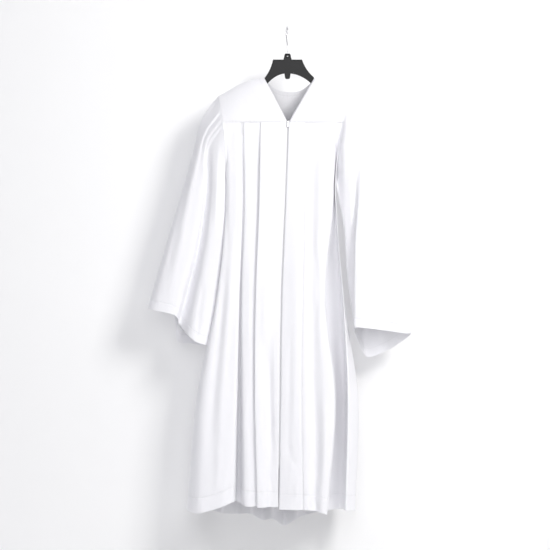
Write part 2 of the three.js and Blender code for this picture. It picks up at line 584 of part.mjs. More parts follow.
// Turns the wall along the armhole so that its rim faces the body's, all but round the underarm.
function squareHead(normals, row, hole) {
  normals.forEach(({ mean }, j) => {
    const share = (hole.topZ - row[j].z) / (hole.topZ - hole.lowZ);
    mean.setX(mean.x * THREE.MathUtils.smoothstep(share, HEAD.squareFrom, HEAD.squareTo)).normalize();
  });
}

// Moves one end of a row back by half a seam gap, along the cloth, and a hair more for its turned rim.
const RIM_TURN = 0.02;

function ease(row, end, next) {
  const along = row[next].clone().sub(row[end]).normalize();
  row[end].addScaledVector(along, SEAM / 2 + RIM_TURN);
}

// The normals of a grid whose last column lies on its first.
function ringNormals(grid) {
  const columns = grid[0].length;
  const wrapped = grid.map((row) => [row[columns - 2], ...row, row[1]]);
  return gridNormals(wrapped).map((row) => row.slice(1, -1));
}

// Small tucks at the sleeve head, strongest at the top of the armhole and gone a little way down.
function gather(grid, normals) {
  const columns = grid[0].length - 1;
  grid.forEach((row, i) => {
    const strength = Math.exp(-SLEEVE_ROWS[i] / GATHERS.fade) * Math.min(SLEEVE_ROWS[i] / GATHERS.onset, 1);
    row.forEach((point, j) => {
      const round = j / columns;
      const nearTop = Math.max(Math.cos(2 * Math.PI * round), 0) ** GATHERS.roundness;
      const wave = Math.sin(2 * Math.PI * GATHERS.waves * round);
      point.addScaledVector(normals[i][j].mean, GATHERS.proud * strength * nearTop * wave);
    });
  });
}

// Zip

// The two edges of a front at height z, for what lies along the zip.
function zipLine(z) {
  const share = (FRONT_SEAM_Z - z) / (FRONT_SEAM_Z - FRONT_LEFT[0].hem);
  const left = through(BODY_X, FRONT_LEFT[0].x, share);
  const right = through(BODY_X, FRONT_RIGHT[0].x, share);
  return new THREE.Vector3((left + right) / 2, through(BODY_Y, FRONT_LEFT[0].y, share), z);
}

// A zip tape, made from a front's own first columns moved in behind it.
function zipTape(side, folds) {
  const sign = ARMHOLE[side].side;
  const grid = frontGrid(side, folds);
  const normals = gridNormals(grid);
  const behind = (CLOTH + TAPE) / 2 + SEAM;
  const rows = grid.slice(0, -1).map((row, i) => {
    const moved = (j) => row[j].clone().addScaledVector(normals[i][j].mean, sign * behind);
    const strip = [moved(0), moved(1)];
    const along = strip[1].clone().sub(strip[0]).normalize();
    const middle = zipLine(row[0].z).x + sign * SEAM;
    const inner = strip[0].clone().addScaledVector(along, (middle - strip[0].x) / along.x);
    return [inner, strip[0], strip[0].clone().addScaledVector(along, TAPE_WIDTH - ZIP_SLIT / 2)];
  });
  return wall(rows, gridNormals(rows), TAPE);
}

// A plate through the points of an outline, in the XZ plane, with its middle at y.
function plate(points, thick, y, bevel, holes = []) {
  const shape = new THREE.Shape(points.map(([x, z]) => new THREE.Vector2(x, z)));
  shape.holes = holes;
  const settings = {
    depth: thick - 2 * bevel,
    bevelEnabled: bevel > 0,
    bevelThickness: bevel,
    bevelSize: bevel,
    bevelOffset: -bevel,
    bevelSegments: 1,
    curveSegments: 8,
  };
  const geometry = new THREE.ExtrudeGeometry(shape, settings);
  geometry.translate(0, 0, -settings.depth / 2);
  geometry.rotateX(Math.PI / 2);
  geometry.translate(0, y, 0);
  return geometry;
}

// Solids that are cut or joined

const wasm = await Module();
wasm.setup();

function solid(geometry) {
  const bare = new THREE.BufferGeometry().setAttribute("position", geometry.getAttribute("position"));
  if (geometry.index) bare.setIndex(geometry.index);
  const merged = mergeVertices(bare, 1e-3);
  return new wasm.Manifold(new wasm.Mesh({
    numProp: 3,
    vertProperties: merged.getAttribute("position").array,
    triVerts: new Uint32Array(merged.index.array),
  }));
}

function geometryOf(manifold) {
  const mesh = manifold.getMesh();
  return new THREE.BufferGeometry()
    .setAttribute("position", new THREE.BufferAttribute(mesh.vertProperties, 3))
    .setIndex(new THREE.BufferAttribute(mesh.triVerts, 1));
}

const block = (wide, deep, tall, x, y, z) => new THREE.BoxGeometry(wide, deep, tall).translate(x, y, z);

// Where the zip's slider and tab stand, in front of the cloth at the top of the zip
const SLIDER_AT = zipLine(ARCH.hingeZ);
const PLATE_Y = SLIDER_AT.y - CLOTH / 2 - SEAM - SLIDER.stand - SLIDER.thick / 2;
const HINGE = new THREE.Vector3(SLIDER_AT.x, PLATE_Y - SLIDER.thick / 2 - ARCH.gap / 2, ARCH.hingeZ);

// The slider: a plate in front of the slit, a neck that goes through it and an arch that carries the tab.
function slider() {
  const { x, y } = SLIDER_AT;
  const top = SLIDER.topZ;
  const half = SLIDER.wide / 2;
  const outline = [
    [x - half, top - SLIDER.corner],
    [x - half + SLIDER.corner, top],
    [x + half - SLIDER.corner, top],
    [x + half, top - SLIDER.corner],
    [x + half - SLIDER.taper, top - SLIDER.tall],
    [x - half + SLIDER.taper, top - SLIDER.tall],
  ];
  const neckBack = y + CLOTH / 2 + SEAM - SLIDER.neckShort;
  const neckZ = FRONT_SEAM_Z - SLIDER.neckDown - SLIDER.neckTall / 2;
  const neckY = (neckBack + PLATE_Y) / 2;
  const neck = block(SLIDER.neckWide, neckBack - PLATE_Y, SLIDER.neckTall, x, neckY, neckZ);
  const archFront = PLATE_Y - SLIDER.thick / 2 - ARCH.gap - ARCH.bar;
  const post = (sign) => block(
    ARCH.wide, PLATE_Y - archFront, ARCH.bar,
    x, (PLATE_Y + archFront) / 2, ARCH.hingeZ + sign * (ARCH.half - ARCH.bar / 2),
  );
  const bar = block(ARCH.wide, ARCH.bar, 2 * ARCH.half, x, archFront + ARCH.bar / 2, ARCH.hingeZ);
  const face = solid(plate(outline, SLIDER.thick, PLATE_Y, SLIDER.bevel));
  return geometryOf([neck, post(1), post(-1), bar].reduce((sum, piece) => sum.add(solid(piece)), face));
}

// The pull tab hangs from the slider's arch by the bar above its eye.
function pullTab() {
  const bar = TAB.thick;
  const half = TAB.wide / 2;
  const top = HINGE.z + bar / 2;
  const foot = top - TAB.long;
  const eye = new THREE.Path([
    [-TAB.eyeWide / 2, -bar], [TAB.eyeWide / 2, -bar],
    [TAB.eyeWide / 2, -bar - TAB.eyeLong], [-TAB.eyeWide / 2, -bar - TAB.eyeLong],
  ].map(([x, z]) => new THREE.Vector2(HINGE.x + x, top + z)));
  const outline = [
    [HINGE.x - half, top],
    [HINGE.x + half, top],
    [HINGE.x + half - TAB.taper, foot + TAB.tipTall],
    [HINGE.x + half - TAB.tipCut, foot],
    [HINGE.x - half + TAB.tipCut, foot],
    [HINGE.x - half + TAB.taper, foot + TAB.tipTall],
  ].reverse();
  return plate(outline, TAB.thick, HINGE.y, 0, [eye]);
}

// Hanger and hook

const HANGER_CENTRE = (CROWN.leftX + CROWN.rightX) / 2;
const CURVE_STEPS = 6;

// Where an arm's edges have their points: just inside the neck, then at the shoulder's own points.
function armXs(side, endX) {
  const inside = SHOULDER[side].x[0] - Math.sign(endX) * HANGER.inNeck;
  const xs = SHOULDER[side].x.slice(1).filter((x) => Math.abs(x) < Math.abs(endX));
  return [inside, ...xs, endX];
}

// The hanger's upper edge: a flat crown with its nub, hollow slopes, then arms under the shoulder line.
function hangerTop() {
  const slope = (crownX, tipX, tipZ) => new THREE.QuadraticBezierCurve(
    new THREE.Vector2(crownX, CROWN.z),
    new THREE.Vector2(crownX + (tipX - crownX) * CROWN.slopeShare, tipZ + CROWN.slopeRise),
    new THREE.Vector2(tipX, tipZ),
  ).getPoints(CURVE_STEPS).map((p) => [p.x, p.y]);
  const arm = (side, endX) => armXs(side, endX).map((x) => [x, shoulderZ(side, x) - HANGER.under]);
  const left = arm("left", HANGER.leftEnd);
  const right = arm("right", HANGER.rightEnd);
  const nub = [
    [HANGER_CENTRE - NUB.baseHalf, NUB.baseZ],
    [HANGER_CENTRE - NUB.topHalf, NUB.topZ],
    [HANGER_CENTRE + NUB.topHalf, NUB.topZ],
    [HANGER_CENTRE + NUB.baseHalf, NUB.baseZ],
  ];
  return [
    ...left.reverse(),
    ...slope(CROWN.leftX, left[left.length - 1][0], left[left.length - 1][1]).reverse().slice(1),
    ...nub,
    ...slope(CROWN.rightX, right[0][0], right[0][1]).slice(0, -1),
    ...right,
  ];
}

// The lower edge, from the right end to the left: two arches that meet at a small tab.
function hangerFoot() {
  const arm = (side, endX) => armXs(side, endX).map((x, i, xs) => {
    const deep = THREE.MathUtils.lerp(HANGER.armDeep, HANGER.endDeep, i / (xs.length - 1));
    return [x, shoulderZ(side, x) - HANGER.under - deep];
  });
  const kneeX = (tipX) => THREE.MathUtils.lerp(tipX, HANGER_CENTRE, CROWN.archShare);
  const arch = (tip, sign) => new THREE.QuadraticBezierCurve(
    new THREE.Vector2(tip[0], tip[1]),
    new THREE.Vector2(kneeX(tip[0]), CROWN.archZ - CROWN.archDrop),
    new THREE.Vector2(HANGER_CENTRE + sign * (CROWN.tabHalf + CROWN.archFoot), CROWN.archZ),
  ).getPoints(CURVE_STEPS).map((p) => [p.x, p.y]).slice(1);
  const right = arm("right", HANGER.rightEnd);
  const left = arm("left", HANGER.leftEnd);
  return [
    ...right.slice().reverse(),
    ...arch(right[0], 1),
    [HANGER_CENTRE + CROWN.tabHalf, CROWN.tabZ + CROWN.tabCorner],
    [HANGER_CENTRE + CROWN.tabHalf - CROWN.tabCorner, CROWN.tabZ],
    [HANGER_CENTRE - CROWN.tabHalf + CROWN.tabCorner, CROWN.tabZ],
    [HANGER_CENTRE - CROWN.tabHalf, CROWN.tabZ + CROWN.tabCorner],
    ...arch(left[0], -1).reverse(),
    ...left,
  ];
}

// The body, with a window through its nub from front to back and a bore down it for the hook's shaft.
function hangerBody() {
  const body = plate([...hangerTop(), ...hangerFoot()], HANGER.thick, 0, HANGER.bevel);
  const rod = (radius, long) => new THREE.CylinderGeometry(radius, radius, long, 12);
  const window = rod(NUB.windowR, 2 * HANGER.thick).translate(HANGER_CENTRE, 0, NUB.windowZ);
  const bore = rod(NUB.boreR, 2 * NUB.boreDeep).rotateX(Math.PI / 2).translate(HANGER_CENTRE, 0, NUB.topZ);
  return geometryOf(solid(body).subtract(solid(bore)).subtract(solid(window)));
}

// The hook: a straight shaft that bends to one side and comes round over the rail.
function hook() {
  const radius = HOOK.crook + HOOK.wire / 2;
  const centreZ = -HOOK.crook;
  const shaft = [HOOK.footZ, (HOOK.footZ + HOOK.shaftTopZ) / 2, HOOK.shaftTopZ - HOOK.bend];
  const points = shaft.map((z) => new THREE.Vector3(HANGER_CENTRE, 0, z));
  const start = THREE.MathUtils.degToRad(HOOK.startDegrees);
  const finish = THREE.MathUtils.degToRad(180 + HOOK.openDegrees);
  const turn = new THREE.Matrix4().makeRotationZ(THREE.MathUtils.degToRad(HOOK.turnDegrees));
  evenly(HOOK.bends).forEach((t) => {
    const angle = THREE.MathUtils.lerp(start, finish, t);
    const round = new THREE.Vector3(0, radius * Math.cos(angle), centreZ + radius * Math.sin(angle));
    points.push(round.applyMatrix4(turn));
  });
  const path = new THREE.CatmullRomCurve3(points, false, "centripetal");
  const section = new THREE.Shape().absarc(0, 0, HOOK.wire / 2, 0, 2 * Math.PI);
  const settings = { steps: HOOK.steps, curveSegments: 4, bevelEnabled: false, extrudePath: path };
  return new THREE.ExtrudeGeometry(section, settings);
}

// Assembly

const materials = Object.fromEntries(
  Object.entries(COLOURS).map(([name, look]) => [name, new THREE.MeshStandardMaterial(look)]),
);

const robe = new THREE.Group();

function add(name, geometry, look) {
  const mesh = new THREE.Mesh(geometry, materials[look]);
  mesh.name = name;
  robe.add(mesh);
}

// A parted piece of cloth goes in as its upper and its lower wall.
function addParted(name, { upper, lower }) {
  add(`${name}_upper`, upper, "cloth");
  add(`${name}_lower`, lower, "cloth");
}

add("yoke_front_left", frontYoke("left"), "cloth");
add("yoke_front_right", frontYoke("right"), "cloth");
add("yoke_back", backYoke(), "cloth");
addParted("front_left", front("left", FRONT_LEFT));
addParted("front_right", front("right", FRONT_RIGHT));
addParted("back", back());

const sleeveLeft = sleeve("left", SLEEVE_LEFT);
const sleeveRight = sleeve("right", SLEEVE_RIGHT);
addParted("sleeve_left_front", sleeveLeft.front);
addParted("sleeve_left_back", sleeveLeft.back);
addParted("sleeve_right_front", sleeveRight.front);
addParted("sleeve_right_back", sleeveRight.back);

add("zip_tape_left", zipTape("left", FRONT_LEFT), "tape");
add("zip_tape_right", zipTape("right", FRONT_RIGHT), "tape");
add("zip_slider", slider(), "metal");
add("zip_pull_tab", pullTab(), "metal");

add("hanger_body", hangerBody(), "plastic");
add("hanger_hook", hook(), "metal");

export default robe;
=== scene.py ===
"""A zip-fronted pleated robe with bell sleeves, on a dress hanger, before a pale wall.

Every size is in millimetres until a mesh is made. +Z is up, the front faces -Y, and left and right are as
seen from the front. Each cut piece of cloth is a thin shell laid over its own fold lines.
"""

import logging
import math
from collections.abc import Callable, Sequence
from dataclasses import dataclass
from enum import Enum

import bmesh
import bpy
import numpy as np
from mathutils import Matrix, Vector


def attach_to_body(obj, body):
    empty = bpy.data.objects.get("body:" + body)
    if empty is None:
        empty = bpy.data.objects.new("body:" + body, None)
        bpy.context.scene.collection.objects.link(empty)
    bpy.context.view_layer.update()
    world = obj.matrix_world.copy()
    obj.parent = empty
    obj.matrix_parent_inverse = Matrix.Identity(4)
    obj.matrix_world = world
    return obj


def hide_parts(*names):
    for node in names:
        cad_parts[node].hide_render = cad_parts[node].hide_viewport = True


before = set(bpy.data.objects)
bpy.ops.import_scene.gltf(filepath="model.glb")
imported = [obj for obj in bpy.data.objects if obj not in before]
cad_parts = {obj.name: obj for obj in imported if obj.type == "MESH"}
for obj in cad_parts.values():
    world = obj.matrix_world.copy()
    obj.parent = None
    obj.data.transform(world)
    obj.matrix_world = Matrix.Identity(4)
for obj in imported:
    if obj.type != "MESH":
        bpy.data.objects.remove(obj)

Array = np.ndarray
Point = tuple[float, float]
Place = tuple[float, float, float]
Colour = tuple[float, float, float]
Material = bpy.types.Material
Shader = bpy.types.ShaderNode
Socket = bpy.types.NodeSocket
Tree = bpy.types.ShaderNodeTree
log = logging.getLogger("robe")

MM = 0.001

# Seams, hems and stitching

SEAM = 0.3
FRONT_SEAM_Z = -288.0
BACK_SEAM_Z = -330.0
SEAM_DEPTH = 48.0
HEM_DEPTH = 46.0
SLEEVE_HEM_DEPTH = 26.0
SEAM_ROW = 3.5
STITCH_PITCH = 3.2
STITCH_PROUD = 0.5
STITCH_HALF = (0.4 * STITCH_PITCH, 0.22, 0.2)
FAR_FROM_EDGES = 200.0
PAST_SEAM_ROW = 40.0
ROWS_NEAR_SEAM = (1.5, 3, 5, 8)
ROWS_ROUND_STITCHING = (-5, -3, -1.6, -0.6, 0.4, 1.4, 3, 5)


class Side(Enum):
    """A side of the robe, as seen from the front."""

    LEFT = -1
    RIGHT = 1

    @property
    def word(self) -> str:
        """The side's name as the pieces use it."""
        return self.name.lower()


class Held(Enum):
    """How a sheet of cloth is held up."""

    HUNG = "hung"
    GATHERED = "gathered"
    STRETCHED = "stretched"


# Curves through stations


def through(stations: Sequence[float], values: Sequence[float], at: Array) -> Array:
    """Reads a smooth curve that passes through values given at stations.

    Args:
        stations: Where the values are given, rising or falling.
        values: The curve's value at each station.
        at: Where to read it.

    Returns:
        The curve's value at each place.
    """
    places = np.asarray(stations, float)
    heights = np.asarray(values, float)
    if places[0] > places[-1]:
        places, heights = places[::-1], heights[::-1]
    slope = np.diff(heights) / np.diff(places)
    tangent = np.concatenate([slope[:1], (slope[:-1] + slope[1:]) / 2, slope[-1:]])
    at = np.asarray(at, float)
    k = np.clip(np.searchsorted(places, at) - 1, 0, len(places) - 2)
    span = (places[1:] - places[:-1])[k]
    t = np.clip((at - places[k]) / span, 0, 1)
    a, b = heights[k], heights[k + 1]
    p, q = tangent[k] * span, tangent[k + 1] * span
    return hermite(a, b, p, q, t)


def hermite(a: Array, b: Array, p: Array, q: Array, t: Array) -> Array:
    """The cubic from a to b that leaves with slope p and arrives with slope q."""
    t2, t3 = t * t, t * t * t
    return a * (2 * t3 - 3 * t2 + 1) + p * (t3 - 2 * t2 + t) + b * (3 * t2 - 2 * t3) + q * (t3 - t2)


def smoothstep(value: Array, low: float, high: float) -> Array:
    """0 at low and 1 at high, easing at both ends."""
    t = np.clip((value - low) / (high - low), 0, 1)
    return t * t * (3 - 2 * t)


def lerp(a: Array, b: Array, t: Array) -> Array:
    """The straight mix of a and b."""
    return a + (b - a) * t


CENTRIPETAL = 0.5
LEAST_STEP = 1e-3


def over_folds(lines: Array, pitch: float, ring: bool = False) -> Array:
    """Lays cloth smoothly across fold lines.

    Args:
        lines: Points of the fold lines, shaped (rows, lines, 3).
        pitch: The wanted distance between columns.
        ring: Whether the last line lies on the first.

    Returns:
        The cloth's points, shaped (rows, columns, 3).
    """
    if ring:
        before, after = lines[:, -2:-1], lines[:, 1:2]
    else:
        before, after = 2 * lines[:, :1] - lines[:, 1:2], 2 * lines[:, -1:] - lines[:, -2:-1]
    knots = np.concatenate([before, lines, after], axis=1)
    strips = []
    for k in range(1, lines.shape[1]):
        p0, p1, p2, p3 = (knots[:, k + i, None] for i in (-1, 0, 1, 2))
        d0, d1, d2 = (
            np.maximum(np.linalg.norm(b - a, axis=2, keepdims=True), LEAST_STEP) ** CENTRIPETAL
            for a, b in ((p0, p1), (p1, p2), (p2, p3))
        )
        leave = ((p1 - p0) / d0 - (p2 - p0) / (d0 + d1) + (p2 - p1) / d1) * d1
        arrive = ((p2 - p1) / d1 - (p3 - p1) / (d1 + d2) + (p3 - p2) / d2) * d1
        length = float(np.linalg.norm(p2 - p1, axis=2).mean())
        count = max(2, round(length / pitch))
        t = (np.arange(count) / count)[None, :, None]
        strips.append(hermite(p1, p2, leave, arrive, t))
    return np.concatenate([*strips, lines[:, -1:]], axis=1)


def rows_with(count: int, length: float, hem: float) -> Array:
    """Rows down a piece, closer together at its seam and round its hem's stitching.

    Args:
        count: How many rows it has before those.
        length: The piece's length.
        hem: The depth of its hem.

    Returns:
        Each row's share of the way down.
    """
    near_seam = np.array(ROWS_NEAR_SEAM) / length
    stitching = 1 - (hem + np.array(ROWS_ROUND_STITCHING)) / length
    return np.unique(np.concatenate([np.linspace(0, 1, count), near_seam, stitching, 1 - near_seam]))


# The pattern: shoulders, armholes and fold lines

SHOULDER_ROUND = 0.6


@dataclass(frozen=True)
class Shoulder:
    """The shoulder line of one side, from the neck to the sleeve."""

    x: tuple[float, ...]
    z: tuple[float, ...]

    def height(self, x: Array) -> Array:
        """How high the shoulder line is at x."""
        return through(self.x, self.z, x)


@dataclass(frozen=True)
class Armhole:
    """The seam between the body and a sleeve: its heights, how far it gapes, and x down its length."""

    top: float
    low: float
    gape: float
    x: tuple[float, ...]

    def seam(self, z: Array) -> tuple[Array, Array]:
        """Finds the seam at a height.

        Args:
            z: Heights.

        Returns:
            Its x, and how far it stands out to the front and the back.
        """
        share = np.clip((self.top - z) / (self.top - self.low), 0, 1)
        stations = np.linspace(0, 1, len(self.x))
        out = self.gape * np.maximum(np.sin(np.pi * share), 0) ** SHOULDER_ROUND
        return through(stations, self.x, share), out


@dataclass(frozen=True)
class FoldLine:
    """A line down the body that its cloth is folded along: x at BODY_X, y at BODY_Y, and its hem's height."""

    name: str
    x: tuple[float, ...]
    y: tuple[float, ...]
    hem: float


@dataclass(frozen=True)
class Flute:
    """A fold line of the back.

    It lies at one share of the back's width at the seam and at another at the hem, and stands out from the
    back's depth by one distance at the seam and by another at the hem, whose height is edge.
    """

    seam: float
    hem: float
    out: tuple[float, float]
    edge: float


@dataclass(frozen=True)
class SleeveLine:
    """A fold line of a sleeve, from its share of the armhole's height down to its hem.

    Its x and y are given at the last four of SLEEVE_STATIONS. A line with no x of its own has beside set, and
    hangs that far outside the body's side seam.
    """

    name: str
    at: float
    x: tuple[float, ...]
    y: tuple[float, ...]
    hem: float
    beside: float | None = None


SHOULDERS = {
    Side.LEFT: Shoulder((-68, -111, -132, -156, -177, -204), (-154, -160, -168, -180, -192, -207)),
    Side.RIGHT: Shoulder((82, 102, 126, 149, 170, 189), (-153, -155.5, -158, -163, -173, -184)),
}
ARMHOLES = {
    Side.LEFT: Armhole(-207, -490, 52, (-204, -192, -185, -183, -183)),
    Side.RIGHT: Armhole(-184, -470, 50, (189, 176, 163, 152, 146)),
}
SIDE_SEAMS = {
    Side.LEFT: FoldLine("side seam", (-190, -184, -212, -270, -301), (0,), -1449),
    Side.RIGHT: FoldLine("side seam", (166, 150, 170, 212, 204), (0,), -1451),
}
BODY_X = (0, 0.2, 0.45, 0.7, 1)
BODY_Y = (0, 0.45, 1)
SLEEVE_STATIONS = (0, 0.1, 0.3, 0.6, 1)

FRONT_FOLDS = {
    Side.LEFT: (
        FoldLine("zip edge", (1.5, -7, -18.5, -22.5, -27), (-50, -60, -72), -1434),
        FoldLine("placket", (-11.5, -20, -31.5, -35.5, -40), (-51, -62, -70), -1434),
        FoldLine("strip trough", (-28, -36, -47, -50, -53), (-51, -63, -68), -1433),
        FoldLine("strip crest", (-60, -65, -75, -77, -70), (-52, -66, -82), -1434),
        FoldLine("pleat 2 edge", (-79.5, -83, -93.5, -96, -88.5), (-52, -66, -82), -1434),
        FoldLine("pleat 2 under", (-77.5, -80, -90, -91, -82), (-48.5, -61.5, -77), -1433),
        FoldLine("pleat 2 turn", (-67, -69, -78, -79, -70), (-47, -59, -75), -1432),
        FoldLine("pleat 2 return", (-69, -72, -81, -83, -74), (-43.5, -55, -71), -1431),
        FoldLine("narrow strip foot", (-86, -90, -101, -104, -97), (-44, -57, -73), -1431),
        FoldLine("narrow strip crest", (-110, -112, -119, -121, -112), (-45, -59, -77), -1432),
        FoldLine("valley right edge", (-130.5, -126, -134, -132, -126), (-45, -55, -73), -1430),
        FoldLine("valley right floor", (-129.5, -127, -137, -139, -140), (-40, -42, -20), -1424),
        FoldLine("valley left floor", (-137, -134, -144, -146, -150), (-40, -42, -18), -1420),
        FoldLine("valley left edge", (-136.5, -133, -142, -150, -160), (-46, -56, -72), -1418),
        FoldLine("side panel crest", (-150, -149, -163, -176, -188), (-48, -59, -80), -1430),
        FoldLine("side panel trough", (-165, -162, -186, -212, -226), (-47, -57, -75), -1443),
        FoldLine("side fold edge", (-177, -176, -207, -250, -264), (-46, -53, -68), -1452),
        FoldLine("side fold", (-188, -190, -214, -266, -292), (-46, -41, -36), -1450),
    ),
    Side.RIGHT: (
        FoldLine("zip edge", (4.5, -4, -15.5, -19.5, -24), (-50, -60, -72), -1441),
        FoldLine("placket", (17.5, 9, -2.5, -6.5, -11), (-51, -63, -76), -1441),
        FoldLine("strip crest", (32, 28, 19, 16, 16), (-52, -66, -83), -1441),
        FoldLine("pleat 3 edge", (51, 51, 46, 43, 48), (-52, -66, -82), -1441),
        FoldLine("pleat 3 under", (49, 48, 42.5, 38, 42), (-48.5, -61.5, -77), -1441),
        FoldLine("pleat 3 turn", (38.5, 37, 31, 26, 30), (-47, -59, -75), -1441),
        FoldLine("pleat 3 return", (40.5, 40, 34, 30, 34), (-43.5, -55, -71), -1442),
        FoldLine("outer strip crest", (60, 60, 56, 55, 62), (-44, -58, -76), -1443),
        FoldLine("outer strip trough", (78, 76, 74, 80, 84), (-44, -53, -66), -1446),
        FoldLine("side panel crest", (110, 104, 93, 112, 102), (-47, -60, -82), -1450),
        FoldLine("front fold edge", (146, 136, 112, 141, 116), (-46, -54, -78), -1455),
        FoldLine("valley left floor", (150, 138.5, 117, 144, 121), (-42, -2, 16), -1452),
        FoldLine("valley right floor", (158, 144.5, 156, 172, 162), (-42, 2, 24), -1447),
        FoldLine("side fold edge", (163, 147, 167, 182, 175), (-45, -52, -40), -1446),
    ),
}

BACK_DEPTH = (50, 72, 88)
FLUTES = (
    Flute(0.07, 0.06, (-4, -14), -1452),
    Flute(0.15, 0.13, (0, 22), -1458),
    Flute(0.22, 0.21, (-3, -10), -1466),
    Flute(0.3, 0.3, (3, 26), -1472),
    Flute(0.37, 0.38, (-3, -16), -1468),
    Flute(0.44, 0.45, (3, 18), -1490),
    Flute(0.5, 0.51, (-3, -20), -1482),
    Flute(0.56, 0.58, (4, 28), -1507),
    Flute(0.63, 0.65, (-3, -14), -1484),
    Flute(0.7, 0.71, (3, 20), -1474),
    Flute(0.78, 0.79, (-3, -12), -1462),
    Flute(0.85, 0.87, (1, 24), -1458),
    Flute(0.93, 0.94, (-4, -8), -1454),
)

SLEEVE_FRONTS = {
    Side.LEFT: (
        SleeveLine("outer fold", 0, (-250, -287, -344, -418), (0, 2, 4, 4), -843),
        SleeveLine("outer crest", 0.14, (-243, -277, -331, -402), (-24, -26, -28, -30), -848),
        SleeveLine("valley outer edge", 0.26, (-236, -247, -272, -333), (-34, -34, -36, -40), -866),
        SleeveLine("valley floor", 0.34, (-229, -242, -265, -323), (-36, -22, -12, 0), -892),
        SleeveLine("valley inner edge", 0.44, (-216, -225, -246, -293), (-44, -38, -38, -44), -926),
        SleeveLine("inner crest", 0.66, (-200, -207, -226, -270), (-44, -42, -42, -50), -944),
        SleeveLine("inner edge", 0.87, (), (-32, -35, -35, -36), -953, beside=-0.8),
        SleeveLine("inner fold", 1, (), (0, 0, 2, 0), -949, beside=1.8),
    ),
    Side.RIGHT: (
        SleeveLine("outer fold", 0, (232, 264, 310, 372), (0, 2, 4, 4), -921),
        SleeveLine("outer crest", 0.14, (230, 256, 298, 356), (-24, -26, -28, -30), -919),
        SleeveLine("panel trough", 0.24, (224, 236, 256, 286), (-32, -30, -32, -34), -909),
        SleeveLine("panel crest", 0.32, (220, 224, 228, 240), (-38, -38, -42, -50), -903),
        SleeveLine("fold edge", 0.4, (212, 214, 203, 200), (-42, -36, -42, -50), -899),
        SleeveLine("fold under", 0.5, (200, 206, 206, 214), (-43, -26, -22, -22), -900),
        SleeveLine("inner panel edge", 0.76, (172, 182, 196, 210), (-32, -18, -12, -8), -902),
        SleeveLine("inner fold", 1, (156, 171, 180, 202), (0, 0, 2, 2), -908),
    ),
}
SLEEVE_BACKS = {
    Side.LEFT: (
        SleeveLine("back inner edge", 0.86, (-192, -204, -224, -258), (26, 26, 28, 34), -955),
        SleeveLine("back inner crest", 0.6, (-208, -226, -256, -292), (42, 42, 46, 52), -950),
        SleeveLine("back trough", 0.38, (-224, -250, -288, -328), (42, 34, 30, 28), -944),
        SleeveLine("back flap", 0.3, (-229, -257, -300, -342), (37, 32, 32, 34), -864),
        SleeveLine("back outer crest", 0.17, (-238, -270, -322, -386), (28, 28, 34, 38), -850),
    ),
    Side.RIGHT: (
        SleeveLine("back inner edge", 0.86, (166, 184, 200, 220), (24, 24, 26, 30), -952),
        SleeveLine("back inner crest", 0.6, (188, 206, 224, 242), (40, 40, 44, 50), -991),
        SleeveLine("back trough", 0.38, (206, 226, 256, 294), (40, 34, 34, 32), -975),
        SleeveLine("back outer crest", 0.17, (222, 248, 288, 338), (27, 28, 34, 36), -950),
    ),
}


# Creases

CREASE_TAPER = 0.3


@dataclass(frozen=True)
class Crease:
    """A soft ridge or trough pressed into the cloth along a line of the front view."""

    line: tuple[tuple[float, float], ...]
    width: float
    proud: float

    def height(self, x: Array, z: Array) -> Array:
        """How far the crease lifts the cloth at places of the front view.

        Args:
            x: Places across.
            z: Places up.

        Returns:
            The lift at each place, below nought in a trough.
        """
        nearest = np.full(x.shape, np.inf)
        along = np.zeros(x.shape)
        ends = np.array(self.line, float)
        lengths = np.linalg.norm(np.diff(ends, axis=0), axis=1)
        run = np.concatenate([[0], np.cumsum(lengths)])
        for k, length in enumerate(lengths):
            way = (ends[k + 1] - ends[k]) / length
            offset_x, offset_z = x - ends[k][0], z - ends[k][1]
            t = np.clip(offset_x * way[0] + offset_z * way[1], 0, length)
            away = np.hypot(offset_x - t * way[0], offset_z - t * way[1])
            closer = away < nearest
            nearest = np.where(closer, away, nearest)
            along = np.where(closer, run[k] + t, along)
        share = along / run[-1]
        taper = smoothstep(share, 0, CREASE_TAPER) * smoothstep(-share, -1, CREASE_TAPER - 1)
        return self.proud * taper * np.exp(-((nearest / self.width) ** 2))


@dataclass(frozen=True)
class HemStitching:
    """How stitching draws in the cloth of a hem."""

    groove: float = 0.35
    groove_reach: float = 1.4
    doubled: float = 0.45
    doubled_reach: float = 2.0
    pucker: float = 0.55
    pucker_reach: float = 10.0
    pucker_length: float = 4.1
    sway: float = 1.4
    sway_length: float = 29.0
    uneven: float = 0.4
    uneven_length: float = 47.0

    def pucker_at(self, along: Array) -> Array:
        """How far the cloth puckers at distances along the hem, before it fades away from the stitching."""
        wave = np.sin(along / self.pucker_length + self.sway * np.sin(along / self.sway_length))
        return wave * (1 - self.uneven + self.uneven * np.sin(along / self.uneven_length + 1))


